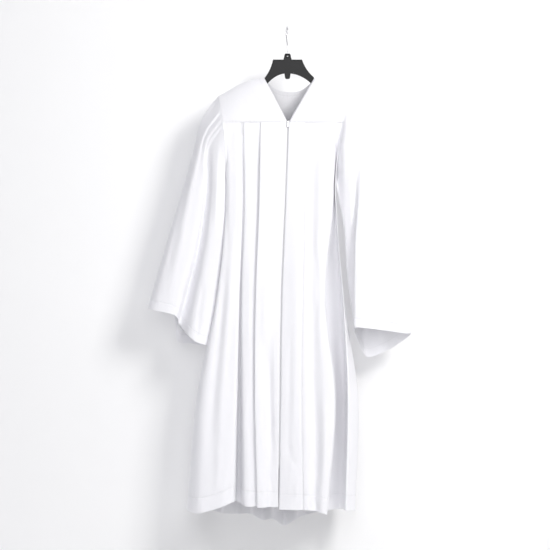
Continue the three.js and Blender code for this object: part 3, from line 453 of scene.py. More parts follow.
@dataclass
class Laid:
    """Cloth laid over its fold lines: points, the way that is out, and what is sewn where."""

    points: Array
    out: Array
    from_hem: Array
    from_seam: Array
    ring: bool = False
    give: Array | float = 1.0
    front_reach: float = 30.0

    def press(self, creases: Sequence[Crease]) -> None:
        """Presses creases into the cloth, towards its outside.

        Args:
            creases: The creases.
        """
        for crease in creases:
            lift = crease.height(self.points[..., 0], self.points[..., 2])
            self.points[..., 1] += self.out * self.give * lift

    def hem_up(self, row: float) -> None:
        """Draws the cloth in along its hem's stitching: a groove, small puckers, and a doubled edge below.

        Args:
            row: How far the stitching is from the edge.
        """
        along = run_along(self.points, 1).mean(axis=0)[None]
        above = self.from_hem - row
        sewn = HemStitching()
        puckers = sewn.pucker * sewn.pucker_at(along) * np.exp(-((above / sewn.pucker_reach) ** 2))
        lift = puckers - sewn.groove * np.exp(-((above / sewn.groove_reach) ** 2))
        doubled = sewn.doubled * smoothstep(-above, 0, sewn.doubled_reach)
        self.points[..., 1] += self.out * self.give * (lift + doubled)

    def row_at(self, away: float) -> tuple[Array, Array]:
        """Finds a line across the cloth at a distance from its hem.

        Args:
            away: The distance.

        Returns:
            Its points, and the way that is out at each.
        """
        columns = np.arange(self.points.shape[1])
        k = np.clip((self.from_hem > away).sum(axis=0) - 1, 0, len(self.points) - 2)
        above, below = self.from_hem[k, columns], self.from_hem[k + 1, columns]
        share = ((above - away) / (above - below))[:, None]
        line = lerp(self.points[k, columns], self.points[k + 1, columns], share)
        out = np.cross(np.gradient(line, axis=0), (0, 0, 1))
        out /= np.maximum(np.linalg.norm(out, axis=1, keepdims=True), 1e-6)
        facing = self.out[k, columns] if self.ring else self.out[0, 0]
        return line, out * math.copysign(1, float(np.sum(out[:, 1] * facing)))

    def sink(self, creases: Sequence[Crease]) -> None:
        """Sinks troughs that run over a seam, the same on every piece there, and on its front alone.

        Args:
            creases: The troughs.
        """
        for crease in creases:
            lift = crease.height(self.points[..., 0], self.points[..., 2])
            self.points[..., 1] -= lift * smoothstep(-self.points[..., 1], 0, self.front_reach)


# Node groups and finishes


def new_group(name: str, takes: dict[str, float], gives: Sequence[str]) -> Tree:
    """Starts a shader node group with named number sockets.

    Args:
        name: The group's name.
        takes: Its inputs and their values.
        gives: Its outputs.

    Returns:
        The group, with its input and output nodes in place.
    """
    tree = bpy.data.node_groups.new(name, "ShaderNodeTree")
    for word, value in takes.items():
        socket = tree.interface.new_socket(word, in_out="INPUT", socket_type="NodeSocketFloat")
        socket.default_value = value
    for word in gives:
        tree.interface.new_socket(word, in_out="OUTPUT", socket_type="NodeSocketFloat")
    tree.nodes.new("NodeGroupInput").name = "in"
    tree.nodes.new("NodeGroupOutput").name = "out"
    return tree


def maths(tree: Tree, operation: str, *values: Socket | float) -> Socket:
    """Adds a Math node.

    Args:
        tree: The tree it goes into.
        operation: What it works out.
        values: Sockets or numbers for its inputs.

    Returns:
        Its result.
    """
    node = tree.nodes.new("ShaderNodeMath")
    node.operation = operation
    for socket, value in zip(node.inputs, values):
        if isinstance(value, Socket):
            tree.links.new(value, socket)
        else:
            socket.default_value = value
    return node.outputs[0]


def map_parts(tree: Tree) -> Sequence[Socket]:
    """Reads the cloth's own map, in metres.

    Args:
        tree: The tree that needs it.

    Returns:
        Where a point lies across the cloth, and how far down.
    """
    uv = tree.nodes.new("ShaderNodeUVMap")
    uv.uv_map = "cloth"
    parts = tree.nodes.new("ShaderNodeSeparateXYZ")
    tree.links.new(uv.outputs[0], parts.inputs[0])
    return parts.outputs[0], parts.outputs[1]


def bell(tree: Tree, away: Socket, reach: Socket | float) -> Socket:
    """Adds a bell curve: 1 at nought, falling off over a reach.

    Args:
        tree: The tree it goes into.
        away: A distance.
        reach: Where the curve has fallen to about a third.

    Returns:
        Its height.
    """
    share = maths(tree, "DIVIDE", away, reach)
    return maths(tree, "EXPONENT", maths(tree, "MULTIPLY", maths(tree, "MULTIPLY", share, share), -1.0))


def weave_group() -> Tree:
    """Makes the plain weave: threads over and under each other along the cloth's own map.

    Returns:
        The group, which gives the threads' height and how full they lie.
    """
    tree = new_group("plain weave", {"Threads per metre": 2600.0}, ["Height", "Fill"])
    nodes, links = tree.nodes, tree.links
    across, down = map_parts(tree)
    turn = maths(tree, "MULTIPLY", nodes["in"].outputs["Threads per metre"], math.pi)
    warp = maths(tree, "SINE", maths(tree, "MULTIPLY", across, turn))
    weft = maths(tree, "SINE", maths(tree, "MULTIPLY", down, turn))
    over = maths(tree, "MULTIPLY", warp, weft)
    links.new(over, nodes["out"].inputs["Height"])
    links.new(maths(tree, "MULTIPLY_ADD", over, 0.5, 0.5), nodes["out"].inputs["Fill"])
    return tree


def rumple_group() -> Tree:
    """Makes the slight unevenness of pressed cloth or moulded plastic.

    Returns:
        The group, which gives its height about nought.
    """
    tree = new_group("rumple", {"Lumps per metre": 18.0, "Upright stretch": 1.0}, ["Height"])
    nodes, links = tree.nodes, tree.links
    place = nodes.new("ShaderNodeTexCoord")
    parts = nodes.new("ShaderNodeSeparateXYZ")
    links.new(place.outputs["Object"], parts.inputs[0])
    upright = maths(tree, "DIVIDE", parts.outputs[2], nodes["in"].outputs["Upright stretch"])
    joined = nodes.new("ShaderNodeCombineXYZ")
    links.new(parts.outputs[0], joined.inputs[0])
    links.new(parts.outputs[1], joined.inputs[1])
    links.new(upright, joined.inputs[2])
    noise = nodes.new("ShaderNodeTexNoise")
    noise.inputs["Detail"].default_value = 3.0
    noise.inputs["Roughness"].default_value = 0.45
    links.new(joined.outputs[0], noise.inputs["Vector"])
    links.new(nodes["in"].outputs["Lumps per metre"], noise.inputs["Scale"])
    links.new(maths(tree, "SUBTRACT", noise.outputs[0], 0.5), nodes["out"].inputs["Height"])
    return tree


def stitch_group() -> Tree:
    """Makes a row of machine stitches at a distance from an edge, with its groove and puckers.

    Returns:
        The group, which gives the cloth's height in parts of the groove's depth, and the groove's mask, where
        the cloth paints shade.
    """
    pucker_reach, puckers_per_metre, pucker_height = 0.009, 85.0, 2.2
    gap_below, thread_sharpness, thread_height = -0.35, 6.0, 0.7
    takes = {"From edge": 1.0, "Row at": HEM_DEPTH * MM, "Groove": 0.0011, "Stitch": 0.003}
    tree = new_group("stitched row", takes, ["Height", "Groove mask"])
    nodes, links = tree.nodes, tree.links
    given = nodes["in"].outputs
    across, _ = map_parts(tree)
    away = maths(tree, "SUBTRACT", given["From edge"], given["Row at"])
    groove = bell(tree, away, given["Groove"])
    noise = nodes.new("ShaderNodeTexNoise")
    noise.noise_dimensions = "1D"
    noise.inputs["Scale"].default_value = puckers_per_metre
    noise.inputs["Detail"].default_value = 2.0
    links.new(across, noise.inputs["W"])
    lumps = maths(tree, "SUBTRACT", noise.outputs[0], 0.5)
    pucker = maths(tree, "MULTIPLY", lumps, bell(tree, away, pucker_reach))
    beat = maths(tree, "DIVIDE", maths(tree, "MULTIPLY", across, math.tau), given["Stitch"])
    dash = maths(tree, "GREATER_THAN", maths(tree, "SINE", beat), gap_below)
    thread = maths(tree, "MULTIPLY", dash, maths(tree, "POWER", groove, thread_sharpness))
    sunk = maths(tree, "MULTIPLY_ADD", thread, thread_height, maths(tree, "MULTIPLY", groove, -1.0))
    links.new(maths(tree, "MULTIPLY_ADD", pucker, pucker_height, sunk), nodes["out"].inputs["Height"])
    links.new(groove, nodes["out"].inputs["Groove mask"])
    return tree


# A Mix node's sockets for colours: the share, the first colour and the second, and the result

MIX_OF_COLOURS = (0, 6, 7)
MIXED_COLOUR = 2


@dataclass(frozen=True)
class Groups:
    """The node groups that the finishes share."""

    weave: Tree
    rumple: Tree
    stitch: Tree


@dataclass(frozen=True)
class Finish:
    """A finish: a name, a colour and how it shines."""

    name: str
    colour: Colour
    roughness: float
    metallic: float = 0.0

    def start(self) -> tuple[Material, Tree, Shader]:
        """Makes the material with its plain values.

        Returns:
            The material, its node tree and its shader.
        """
        material = bpy.data.materials.new(self.name)
        material.use_nodes = True
        tree = material.node_tree
        shader = tree.nodes["Principled BSDF"]
        shader.inputs["Base Color"].default_value = (*self.colour, 1)
        shader.inputs["Roughness"].default_value = self.roughness
        shader.inputs["Metallic"].default_value = self.metallic
        return material, tree, shader

    def toned(self, share: float) -> Colour:
        """The finish's colour, darker below a share of 1 and lighter above it."""
        return tuple(share * c for c in self.colour)

    def place(self, tree: Tree, group: Tree, **values: float) -> Shader:
        """Puts a shared group into the material.

        Args:
            tree: The material's tree.
            group: The group.
            values: Its inputs, with underscores for spaces.

        Returns:
            The group's node.
        """
        node = tree.nodes.new("ShaderNodeGroup")
        node.node_tree = group
        for word, value in values.items():
            node.inputs[word.replace("_", " ")].default_value = value
        return node

    def raise_by(self, tree: Tree, shader: Shader, height: Socket, metres: float) -> None:
        """Feeds a height to the shader's normal, after any already there.

        Args:
            tree: The material's tree.
            shader: Its shader.
            height: The height.
            metres: How far a height of 1 is.
        """
        bump = tree.nodes.new("ShaderNodeBump")
        bump.inputs["Strength"].default_value = 1.0
        bump.inputs["Distance"].default_value = metres
        tree.links.new(height, bump.inputs["Height"])
        before = shader.inputs["Normal"].links
        if before:
            tree.links.new(before[0].from_socket, bump.inputs["Normal"])
        tree.links.new(bump.outputs[0], shader.inputs["Normal"])

    def shade(self, tree: Tree, shader: Shader, mask: Socket, colour: Colour) -> None:
        """Mixes a second colour into the base colour, after any already there.

        Args:
            tree: The material's tree.
            shader: Its shader.
            mask: How much of the second colour shows.
            colour: The second colour.
        """
        mix = tree.nodes.new("ShaderNodeMix")
        mix.data_type = "RGBA"
        share, first, second = (mix.inputs[k] for k in MIX_OF_COLOURS)
        second.default_value = (*colour, 1)
        before = shader.inputs["Base Color"].links
        if before:
            tree.links.new(before[0].from_socket, first)
        else:
            first.default_value = (*self.colour, 1)
        tree.links.new(mask, share)
        tree.links.new(mix.outputs[MIXED_COLOUR], shader.inputs["Base Color"])


@dataclass(frozen=True)
class ClothFinish(Finish):
    """Smooth white polyester with its weave, soft rumples and stitched hem and seam."""

    hem_row: float = HEM_DEPTH * MM
    seam_row: float = SEAM_ROW * MM
    # Painted shade in the grooves of the stitched rows
    groove_shade_tone: float = 0.62
    groove_shade_share: float = 0.12
    # Painted shade between the weave's threads
    gap_shade_tone: float = 0.8
    gap_shade_share: float = 0.16
    shine_of_threads: float = 0.12

    def make(self, groups: Groups) -> Material:
        """Builds the material.

        Args:
            groups: The shared node groups.

        Returns:
            The material.
        """
        material, tree, shader = self.start()
        shader.inputs["Subsurface Weight"].default_value = 0.3
        shader.inputs["Subsurface Radius"].default_value = (1, 1, 1)
        shader.inputs["Subsurface Scale"].default_value = 0.002
        shader.inputs["Sheen Weight"].default_value = 0.12
        shader.inputs["Sheen Roughness"].default_value = 0.5
        shader.inputs["Specular IOR Level"].default_value = 0.35
        rumple = self.place(tree, groups.rumple, Lumps_per_metre=26.0, Upright_stretch=3.0)
        self.raise_by(tree, shader, rumple.outputs["Height"], metres=0.0022)
        for word, row in (("from_hem", self.hem_row), ("from_seam", self.seam_row)):
            edge = tree.nodes.new("ShaderNodeAttribute")
            edge.attribute_name = word
            stitch = self.place(tree, groups.stitch, Row_at=row)
            tree.links.new(edge.outputs["Fac"], stitch.inputs["From edge"])
            self.raise_by(tree, shader, stitch.outputs["Height"], metres=0.0004)
            # Painted shade: each stitched row's groove darkens the base colour
            groove = maths(tree, "MULTIPLY", stitch.outputs["Groove mask"], self.groove_shade_share)
            self.shade(tree, shader, groove, self.toned(self.groove_shade_tone))
        weave = self.place(tree, groups.weave)
        fill = weave.outputs["Fill"]
        self.raise_by(tree, shader, weave.outputs["Height"], metres=0.00004)
        # Painted shade: the gaps between the threads darken the base colour
        gap_shade = maths(tree, "MULTIPLY_ADD", fill, -self.gap_shade_share, self.gap_shade_share)
        self.shade(tree, shader, gap_shade, self.toned(self.gap_shade_tone))
        between = self.roughness + self.shine_of_threads / 2
        rough = maths(tree, "MULTIPLY_ADD", fill, -self.shine_of_threads, between)
        tree.links.new(rough, shader.inputs["Roughness"])
        return material


@dataclass(frozen=True)
class TapeFinish(Finish):
    """Woven zip tape, coarser than the cloth."""

    # Painted shade between the tape's threads
    gap_shade_tone: float = 0.75
    gap_shade_share: float = 0.4

    def make(self, groups: Groups) -> Material:
        """Builds the material.

        Args:
            groups: The shared node groups.

        Returns:
            The material.
        """
        material, tree, shader = self.start()
        weave = self.place(tree, groups.weave, Threads_per_metre=1400.0)
        self.raise_by(tree, shader, weave.outputs["Height"], metres=0.00012)
        # Painted shade: the gaps between the threads darken the base colour
        gap_shade = maths(tree, "MULTIPLY_ADD", weave.outputs["Fill"], -self.gap_shade_share, self.gap_shade_share)
        self.shade(tree, shader, gap_shade, self.toned(self.gap_shade_tone))
        return material


@dataclass(frozen=True)
class MouldedFinish(Finish):
    """Satin moulded plastic with a fine grain and a slight unevenness of colour."""

    light_tone: float = 1.5
    light_share: float = 0.35
    light_swing: float = 0.9
    rough_swing: float = 0.2

    def make(self, groups: Groups) -> Material:
        """Builds the material.

        Args:
            groups: The shared node groups.

        Returns:
            The material.
        """
        material, tree, shader = self.start()
        grain = self.place(tree, groups.rumple, Lumps_per_metre=900.0)
        self.raise_by(tree, shader, grain.outputs["Height"], metres=0.00006)
        cloud = self.place(tree, groups.rumple, Lumps_per_metre=40.0).outputs["Height"]
        shader.inputs["Specular IOR Level"].default_value = 0.3
        mask = maths(tree, "MULTIPLY_ADD", cloud, self.light_swing, self.light_share)
        self.shade(tree, shader, mask, self.toned(self.light_tone))
        rough = maths(tree, "MULTIPLY_ADD", cloud, self.rough_swing, self.roughness)
        tree.links.new(rough, shader.inputs["Roughness"])
        return material


@dataclass(frozen=True)
class PlatedFinish(Finish):
    """Bright plated metal with faint drawn lines and dulled patches."""

    dulled: Colour = (0.5, 0.5, 0.52)
    dulled_share: float = 0.2
    rough_swing: float = 0.3

    def make(self, groups: Groups) -> Material:
        """Builds the material.

        Args:
            groups: The shared node groups.

        Returns:
            The material.
        """
        material, tree, shader = self.start()
        drawn = self.place(tree, groups.rumple, Lumps_per_metre=1500.0, Upright_stretch=12.0)
        self.raise_by(tree, shader, drawn.outputs["Height"], metres=0.00002)
        patches = self.place(tree, groups.rumple, Lumps_per_metre=160.0).outputs["Height"]
        rough = maths(tree, "MULTIPLY_ADD", patches, self.rough_swing, self.roughness)
        tree.links.new(rough, shader.inputs["Roughness"])
        self.shade(tree, shader, maths(tree, "ADD", patches, self.dulled_share), self.dulled)
        return material


# Meshes


def finish_object(
    bm: bmesh.types.BMesh, name: str, material: Material, smooth: bool = True
) -> bpy.types.Object:
    """Turns a finished bmesh in metres into an object at the origin.

    Args:
        bm: The mesh, which is freed.
        name: The object's name.
        material: Its material.
        smooth: Whether its faces are shaded smooth.

    Returns:
        The object, in the scene.
    """
    mesh = bpy.data.meshes.new(name)
    bm.to_mesh(mesh)
    bm.free()
    mesh.materials.append(material)
    mesh.polygons.foreach_set("use_smooth", [smooth] * len(mesh.polygons))
    thing = bpy.data.objects.new(name, mesh)
    bpy.context.scene.collection.objects.link(thing)
    return thing


def scaled_to_metres(bm: bmesh.types.BMesh) -> bmesh.types.BMesh:
    """Scales a mesh from millimetres to metres."""
    bmesh.ops.scale(bm, vec=(MM, MM, MM), verts=bm.verts)
    return bm


def attach(
    thing: bpy.types.Object, nodes: Sequence[str] = (), body: str = "robe"
) -> bpy.types.Object:
    """Gives a piece its body and the solids that it stands for.

    Args:
        thing: The piece.
        nodes: The solids that it replaces.
        body: The body that it moves with.

    Returns:
        The piece.
    """
    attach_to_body(thing, body)
    if nodes:
        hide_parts(*nodes)
    return thing


def run_along(points: Array, axis: int) -> Array:
    """How far each point lies along its row or column.

    Args:
        points: The cloth's points.
        axis: 0 to measure down the columns, 1 to measure across the rows.

    Returns:
        The distances, from nought at the first.
    """
    first = points[:1] if axis == 0 else points[:, :1]
    return np.cumsum(np.linalg.norm(np.diff(points, axis=axis, prepend=first), axis=2), axis=axis)


def cloth_object(name: str, laid: Laid, material: Material, thick: float) -> bpy.types.Object:
    """Makes the thin shell of a laid piece of cloth.

    Args:
        name: The object's name.
        laid: The cloth.
        material: Its material.
        thick: Its thickness.

    Returns:
        The object, with its own map in metres and its distances from the hem and the seam.
    """
    rows, columns = laid.points.shape[:2]
    bm = bmesh.new()
    bmesh.ops.create_grid(bm, x_segments=columns - 1, y_segments=rows - 1, size=0.5)
    order = np.array([(v.co.x, v.co.y) for v in bm.verts])
    column = np.rint((order[:, 0] + 0.5) * (columns - 1)).astype(int)
    row = np.rint((0.5 - order[:, 1]) * (rows - 1)).astype(int)
    steady = run_along(laid.points, 1).mean(axis=0)[None, :].repeat(rows, axis=0)
    length = run_along(laid.points, 0).mean(axis=1)[:, None].repeat(columns, axis=1)
    thing = finish_object(bm, name, material)
    mesh = thing.data
    mesh.vertices.foreach_set("co", (laid.points[row, column] * MM).ravel())
    corners = np.empty(len(mesh.loops), int)
    mesh.loops.foreach_get("vertex_index", corners)
    mapped = np.stack([steady[row, column], length[row, column]], axis=1)[corners] * MM
    mesh.uv_layers.new(name="cloth").data.foreach_set("uv", mapped.ravel())
    for word, values in (("from_hem", laid.from_hem), ("from_seam", laid.from_seam)):
        mesh.attributes.new(word, "FLOAT", "POINT").data.foreach_set("value", values[row, column] * MM)
    mesh.update()
    close_and_face_out(mesh, laid.ring)
    wall = thing.modifiers.new("thickness", "SOLIDIFY")
    wall.thickness = thick * MM
    wall.offset = 0
    return thing


TOUCHING = 1e-5


def close_and_face_out(mesh: bpy.types.Mesh, ring: bool) -> None:
    """Joins a ring of cloth edge to edge, and turns cloth whose outside lies inwards.

    Args:
        mesh: The cloth.
        ring: Whether its first and last columns are joined.
    """
    bm = bmesh.new()
    bm.from_mesh(mesh)
    if ring:
        bmesh.ops.remove_doubles(bm, verts=bm.verts, dist=TOUCHING)
    middle = sum((v.co.y for v in bm.verts), 0.0) / len(bm.verts) if ring else 0.0
    outward = 0.0
    for face in bm.faces:
        side = math.copysign(1, face.calc_center_median().y - middle)
        outward += face.normal.y * face.calc_area() * side
    if outward < 0:
        bmesh.ops.reverse_faces(bm, faces=bm.faces)
    bm.to_mesh(mesh)
    bm.free()


def stitches(name: str, line: Array, out: Array, material: Material) -> bpy.types.Object:
    """Lays a row of machine stitches on the cloth's outside.

    Args:
        name: The object's name.
        line: The row's points.
        out: The way that is out at each.
        material: The thread's finish.

    Returns:
        The row.
    """
    run = np.concatenate([[0], np.cumsum(np.linalg.norm(np.diff(line, axis=0), axis=1))])
    places = np.arange(STITCH_PITCH, run[-1] - STITCH_PITCH, STITCH_PITCH)
    bm = bmesh.new()
    for place in places:
        at, ahead, up = (
            Vector([float(np.interp(place + step, run, values[:, axis])) for axis in range(3)])
            for step, values in ((0, line), (1, line), (0, out))
        )
        way = (ahead - at).normalized()
        side = up.cross(way).normalized()
        turn = Matrix((way, side, way.cross(side))).transposed().to_4x4()
        sizes = Matrix.Diagonal((*STITCH_HALF, 1))
        centre = Matrix.Translation(at + up.normalized() * STITCH_PROUD)
        bmesh.ops.create_icosphere(bm, subdivisions=1, radius=1, matrix=centre @ turn @ sizes)
    return finish_object(scaled_to_metres(bm), name, material)


# Cut pieces


@dataclass
class CutPiece:
    """A piece of cloth that a maker cuts and sews: its nodes, flat size and creases."""

    name: str
    nodes: tuple[str, ...]
    flat: tuple[float, float]
    area: float
    creases: tuple[Crease, ...] = ()
    shared: tuple[Crease, ...] = ()
    held: Held = Held.HUNG
    hem: float | None = None
    thick: float = 0.9
    pitch: float = 4.0

    def lay(self) -> Laid:
        """Lays the cloth over its fold lines."""
        raise NotImplementedError

    def build(self, material: Material) -> bpy.types.Object:
        """Args:
            material: The cloth's finish.

        Returns:
            The piece.
        """
        laid = self.lay()
        laid.press(self.creases)
        laid.sink(self.shared)
        thing = cloth_object(self.name, laid, material, self.thick)
        attach(thing, self.nodes)
        if self.hem:
            sewn = stitches(f"{self.name}_stitches", *laid.row_at(self.hem), material)
            attach(sewn)
        log.info("%s: %d faces", thing.name, len(thing.data.polygons))
        return thing


NECK = {Side.LEFT: (-68.0, -154.0), Side.RIGHT: (82.0, -153.0)}
NECK_FOOT_X = 3.0
NECK_FOOT_PROUD = 3.8
ZIP_SLIT = 3.0
TURN_TO_SLEEVE = 6
YOKE_ROWS_EASE = 1.8
COLUMNS_NEAR_NECK = (0, 0.6, 1.4, 2.4, 3.6, 5, 6.6, 8.4, 10.5, 13)


def yoke_out(share: Array) -> Array:
    """How far a yoke stands out at a share of its depth."""
    return SEAM_DEPTH * np.maximum(np.sin(np.pi / 2 * np.minimum(share, 1)), 0) ** SHOULDER_ROUND


@dataclass
class FrontYoke(CutPiece):
    """One side of the front yoke, with its edge of the V-neck rolled in."""

    side: Side = Side.LEFT
    roll: float = 6.0
    roll_in: float = 4.5
    lap: float = 0.9
    neck_row: float = 16.0
    rows: int = 56

    def lay(self) -> Laid:
        """Lays the yoke from the neck to the armhole, and from the shoulder down over the seam.

        Returns:
            The cloth.
        """
        sign = self.side.value
        neck_x, neck_z = NECK[self.side]
        hole = ARMHOLES[self.side]
        rise = np.linspace(0, 1, self.rows)[:, None] ** YOKE_ROWS_EASE
        near_neck = np.array(COLUMNS_NEAR_NECK) / abs(hole.x[0] - neck_x)
        middle, near_sleeve = np.linspace(0.11, 0.96, 34), np.linspace(0.965, 1, 8)
        across = np.unique(np.concatenate([near_neck, middle, near_sleeve]))[None]
        ridge_x = lerp(neck_x, hole.x[0], across)
        ridge_z = SHOULDERS[self.side].height(ridge_x)
        foot = FRONT_SEAM_Z - self.lap
        z = lerp(ridge_z, foot, rise)
        edge_z = lerp(neck_z, foot, rise)
        edge_x = lerp(neck_x, NECK_FOOT_X + sign * ZIP_SLIT / 2, (neck_z - edge_z) / (neck_z - foot))
        sleeve_x, sleeve_out = hole.seam(lerp(hole.top, foot, rise))
        x = lerp(edge_x, sleeve_x, across)
        at_seam = lerp(SEAM_DEPTH + NECK_FOOT_PROUD, SEAM_DEPTH, across)
        out = lerp(yoke_out(rise) * at_seam / SEAM_DEPTH, sleeve_out, across**TURN_TO_SLEEVE)
        y = -np.maximum(out, SEAM / 2)
        from_neck = np.abs(x - edge_x)
        y = y + self.roll_in * np.clip(1 - from_neck / self.roll, 0, 1) ** 2 * smoothstep(rise, 0, 0.03)
        points = np.stack([x, y, z], axis=2)
        from_edge = np.minimum(from_neck + HEM_DEPTH - self.neck_row, FAR_FROM_EDGES)
        return Laid(points, np.full(z.shape, -1.0), from_edge, z - foot)


BACK_NECK_LOW = (10.0, -193.0)
BACK_NECK_ROUND = 2.6


@dataclass
class BackYoke(CutPiece):
    """The back yoke, with the round back neckline in its upper edge."""

    lap: float = 1.4
    neck_row: float = 12.0
    foot_proud: float = 2.8
    turn_to_sleeve: int = 12
    rows: int = 60
    columns: tuple[int, int, int] = (36, 42, 32)

    def lay(self) -> Laid:
        """Lays the yoke from armhole to armhole.

        Returns:
            The cloth.
        """
        left, right = ARMHOLES[Side.LEFT], ARMHOLES[Side.RIGHT]
        low_x, low_z = BACK_NECK_LOW
        neck_left, neck_right = NECK[Side.LEFT], NECK[Side.RIGHT]
        on_shoulder, round_neck, on_other = self.columns
        turn = (1 - np.cos(np.pi * np.linspace(0, 1, round_neck))) / 2
        top_x = np.unique(np.concatenate([
            np.linspace(left.x[0], neck_left[0], on_shoulder),
            lerp(neck_left[0], neck_right[0], turn),
            np.linspace(neck_right[0], right.x[0], on_other),
        ]))[None]
        on_left, on_right = top_x <= neck_left[0], top_x >= neck_right[0]
        shoulder_z = np.where(
            on_left,
            SHOULDERS[Side.LEFT].height(np.minimum(top_x, neck_left[0])),
            SHOULDERS[Side.RIGHT].height(np.maximum(top_x, neck_right[0])),
        )
        ridge_z = np.where(on_left | on_right, shoulder_z, neck_right[1])
        neck_x = np.where(top_x < low_x, neck_left[0], neck_right[0])
        reach = np.abs((top_x - low_x) / (neck_x - low_x))
        scoop = (neck_right[1] - low_z) * np.maximum(1 - reach**BACK_NECK_ROUND, 0)
        top_z = np.where(on_left | on_right, ridge_z, ridge_z - scoop)
        rise = np.linspace(0, 1, self.rows)[:, None] ** YOKE_ROWS_EASE
        foot = BACK_SEAM_Z - self.lap
        z = lerp(top_z, foot, rise)
        across = (top_x - left.x[0]) / (right.x[0] - left.x[0])
        left_x, left_out = left.seam(lerp(left.top, foot, rise))
        right_x, right_out = right.seam(lerp(right.top, foot, rise))
        pull = lerp(left_x - left.x[0], right_x - right.x[0], across)
        body = yoke_out((ridge_z - z) / (ridge_z - foot)) + self.foot_proud * rise
        edge = np.abs(2 * across - 1) ** self.turn_to_sleeve
        y = np.maximum(lerp(body, np.where(across < 0.5, left_out, right_out), edge), SEAM / 2)
        points = np.stack([top_x + pull, y, z], axis=2)
        on_top = np.where(on_left | on_right, FAR_FROM_EDGES, 0.0)
        from_edge = np.minimum(top_z - z + HEM_DEPTH - self.neck_row + on_top, FAR_FROM_EDGES)
        return Laid(points, np.ones(z.shape), from_edge, z - foot)


ARMHOLE_FADE = 110.0


def side_edge(side: Side, z: Array, facing: float) -> Array:
    """The outer edge of a body piece at a height: on the armhole, or on the side seam below it.

    Args:
        side: Which side of the robe.
        z: Heights.
        facing: -1 for a front, 1 for the back.

    Returns:
        Points, shaped (heights, 3).
    """
    hole, seam = ARMHOLES[side], SIDE_SEAMS[side]
    hole_x, hole_out = hole.seam(z)

    def seam_x(height: Array) -> Array:
        """The side seam's own x at a height."""
        return through(BODY_X, seam.x, (FRONT_SEAM_Z - height) / (FRONT_SEAM_Z - seam.hem))

    fade = 1 - smoothstep(hole.low - z, 0, ARMHOLE_FADE)
    below = seam_x(z) + (hole_x - seam_x(np.array(hole.low))) * fade
    above = z > hole.low
    x = np.where(above, hole_x, below)
    out = np.where(above, hole_out, 0)
    return np.stack([x, facing * np.maximum(out, SEAM / 2), z], axis=1)


def yoke_foot(side: Side, x: Array) -> Array:
    """Finds how deep the front yoke's foot lies.

    Args:
        side: Which side of the robe.
        x: Places across.

    Returns:
        Its y at each place.
    """
    sleeve_x, sleeve_out = ARMHOLES[side].seam(np.array(FRONT_SEAM_Z))
    slit_x = NECK_FOOT_X + side.value * ZIP_SLIT / 2
    across = np.clip((x - slit_x) / (sleeve_x - slit_x), 0, 1)
    at_seam = lerp(SEAM_DEPTH + NECK_FOOT_PROUD, SEAM_DEPTH, across)
    return -lerp(at_seam, sleeve_out, across**TURN_TO_SLEEVE)


def tuck_under(points: Array, seam_z: float, inwards: float, reach: float) -> Array:
    """Tucks a piece's upper edge in under the yoke that laps over it.

    Args:
        points: The cloth's points.
        seam_z: The height of its seam.
        inwards: How far its edge moves along Y.
        reach: How far down the tuck fades.

    Returns:
        The points, moved.
    """
    y = points[..., 1] + inwards * np.exp(-(seam_z - points[..., 2]) / reach)
    return np.stack([points[..., 0], y, points[..., 2]], axis=2)


@dataclass
class Front(CutPiece):
    """One side of the pleated front, from the zip to the armhole and the side seam.

    Its pleats lie pressed nearly flat at the yoke and open over the first part of the way down. Neighbouring
    folds keep some room from the side's edge, and creases fade out towards the zip.
    """

    side: Side = Side.LEFT
    pressed: float = 0.25
    opens: float = 0.12
    side_room: float = 2.2
    tuck: tuple[float, float] = (0.5, 5.0)
    smooth_by_zip: tuple[float, float] = (5.0, 26.0)
    rows: int = 170
    length: float = 1150.0

    def fold_points(self, rows: Array) -> Array:
        """The fold lines' points at shares of the way down.

        Args:
            rows: Shares of the way down.

        Returns:
            Points, shaped (rows, lines, 3), the side's own edge last.
        """
        folds = FRONT_FOLDS[self.side]
        sign = self.side.value
        top = FRONT_SEAM_Z - SEAM
        edge = side_edge(self.side, lerp(top, SIDE_SEAMS[self.side].hem, rows), -1)
        lines = []
        for k, fold in enumerate(folds):
            inside = self.side_room * (len(folds) - k)
            x = sign * np.minimum(sign * through(BODY_X, fold.x, rows), sign * edge[:, 0] - inside)
            y = through(BODY_Y, fold.y, rows)
            opened = lerp(self.pressed, 1, smoothstep(rows, 0, self.opens))
            y = lerp(yoke_foot(self.side, x), y, opened)
            lines.append(np.stack([x, y, lerp(top, fold.hem, rows)], axis=1))
        return np.stack([*lines, edge], axis=1)

    def lay(self) -> Laid:
        """Lays the front over its pleats.

        Returns:
            The cloth.
        """
        rows = rows_with(self.rows, self.length, HEM_DEPTH)
        points = over_folds(self.fold_points(rows), self.pitch)
        points = tuck_under(points, FRONT_SEAM_Z, *self.tuck)
        z = points[..., 2]
        give = smoothstep(np.abs(points[..., 0] - points[:, :1, 0]), *self.smooth_by_zip)
        laid = Laid(points, np.full(z.shape, -1.0), z - z[-1], FRONT_SEAM_Z - z + PAST_SEAM_ROW, give=give)
        laid.hem_up(HEM_DEPTH)
        return laid


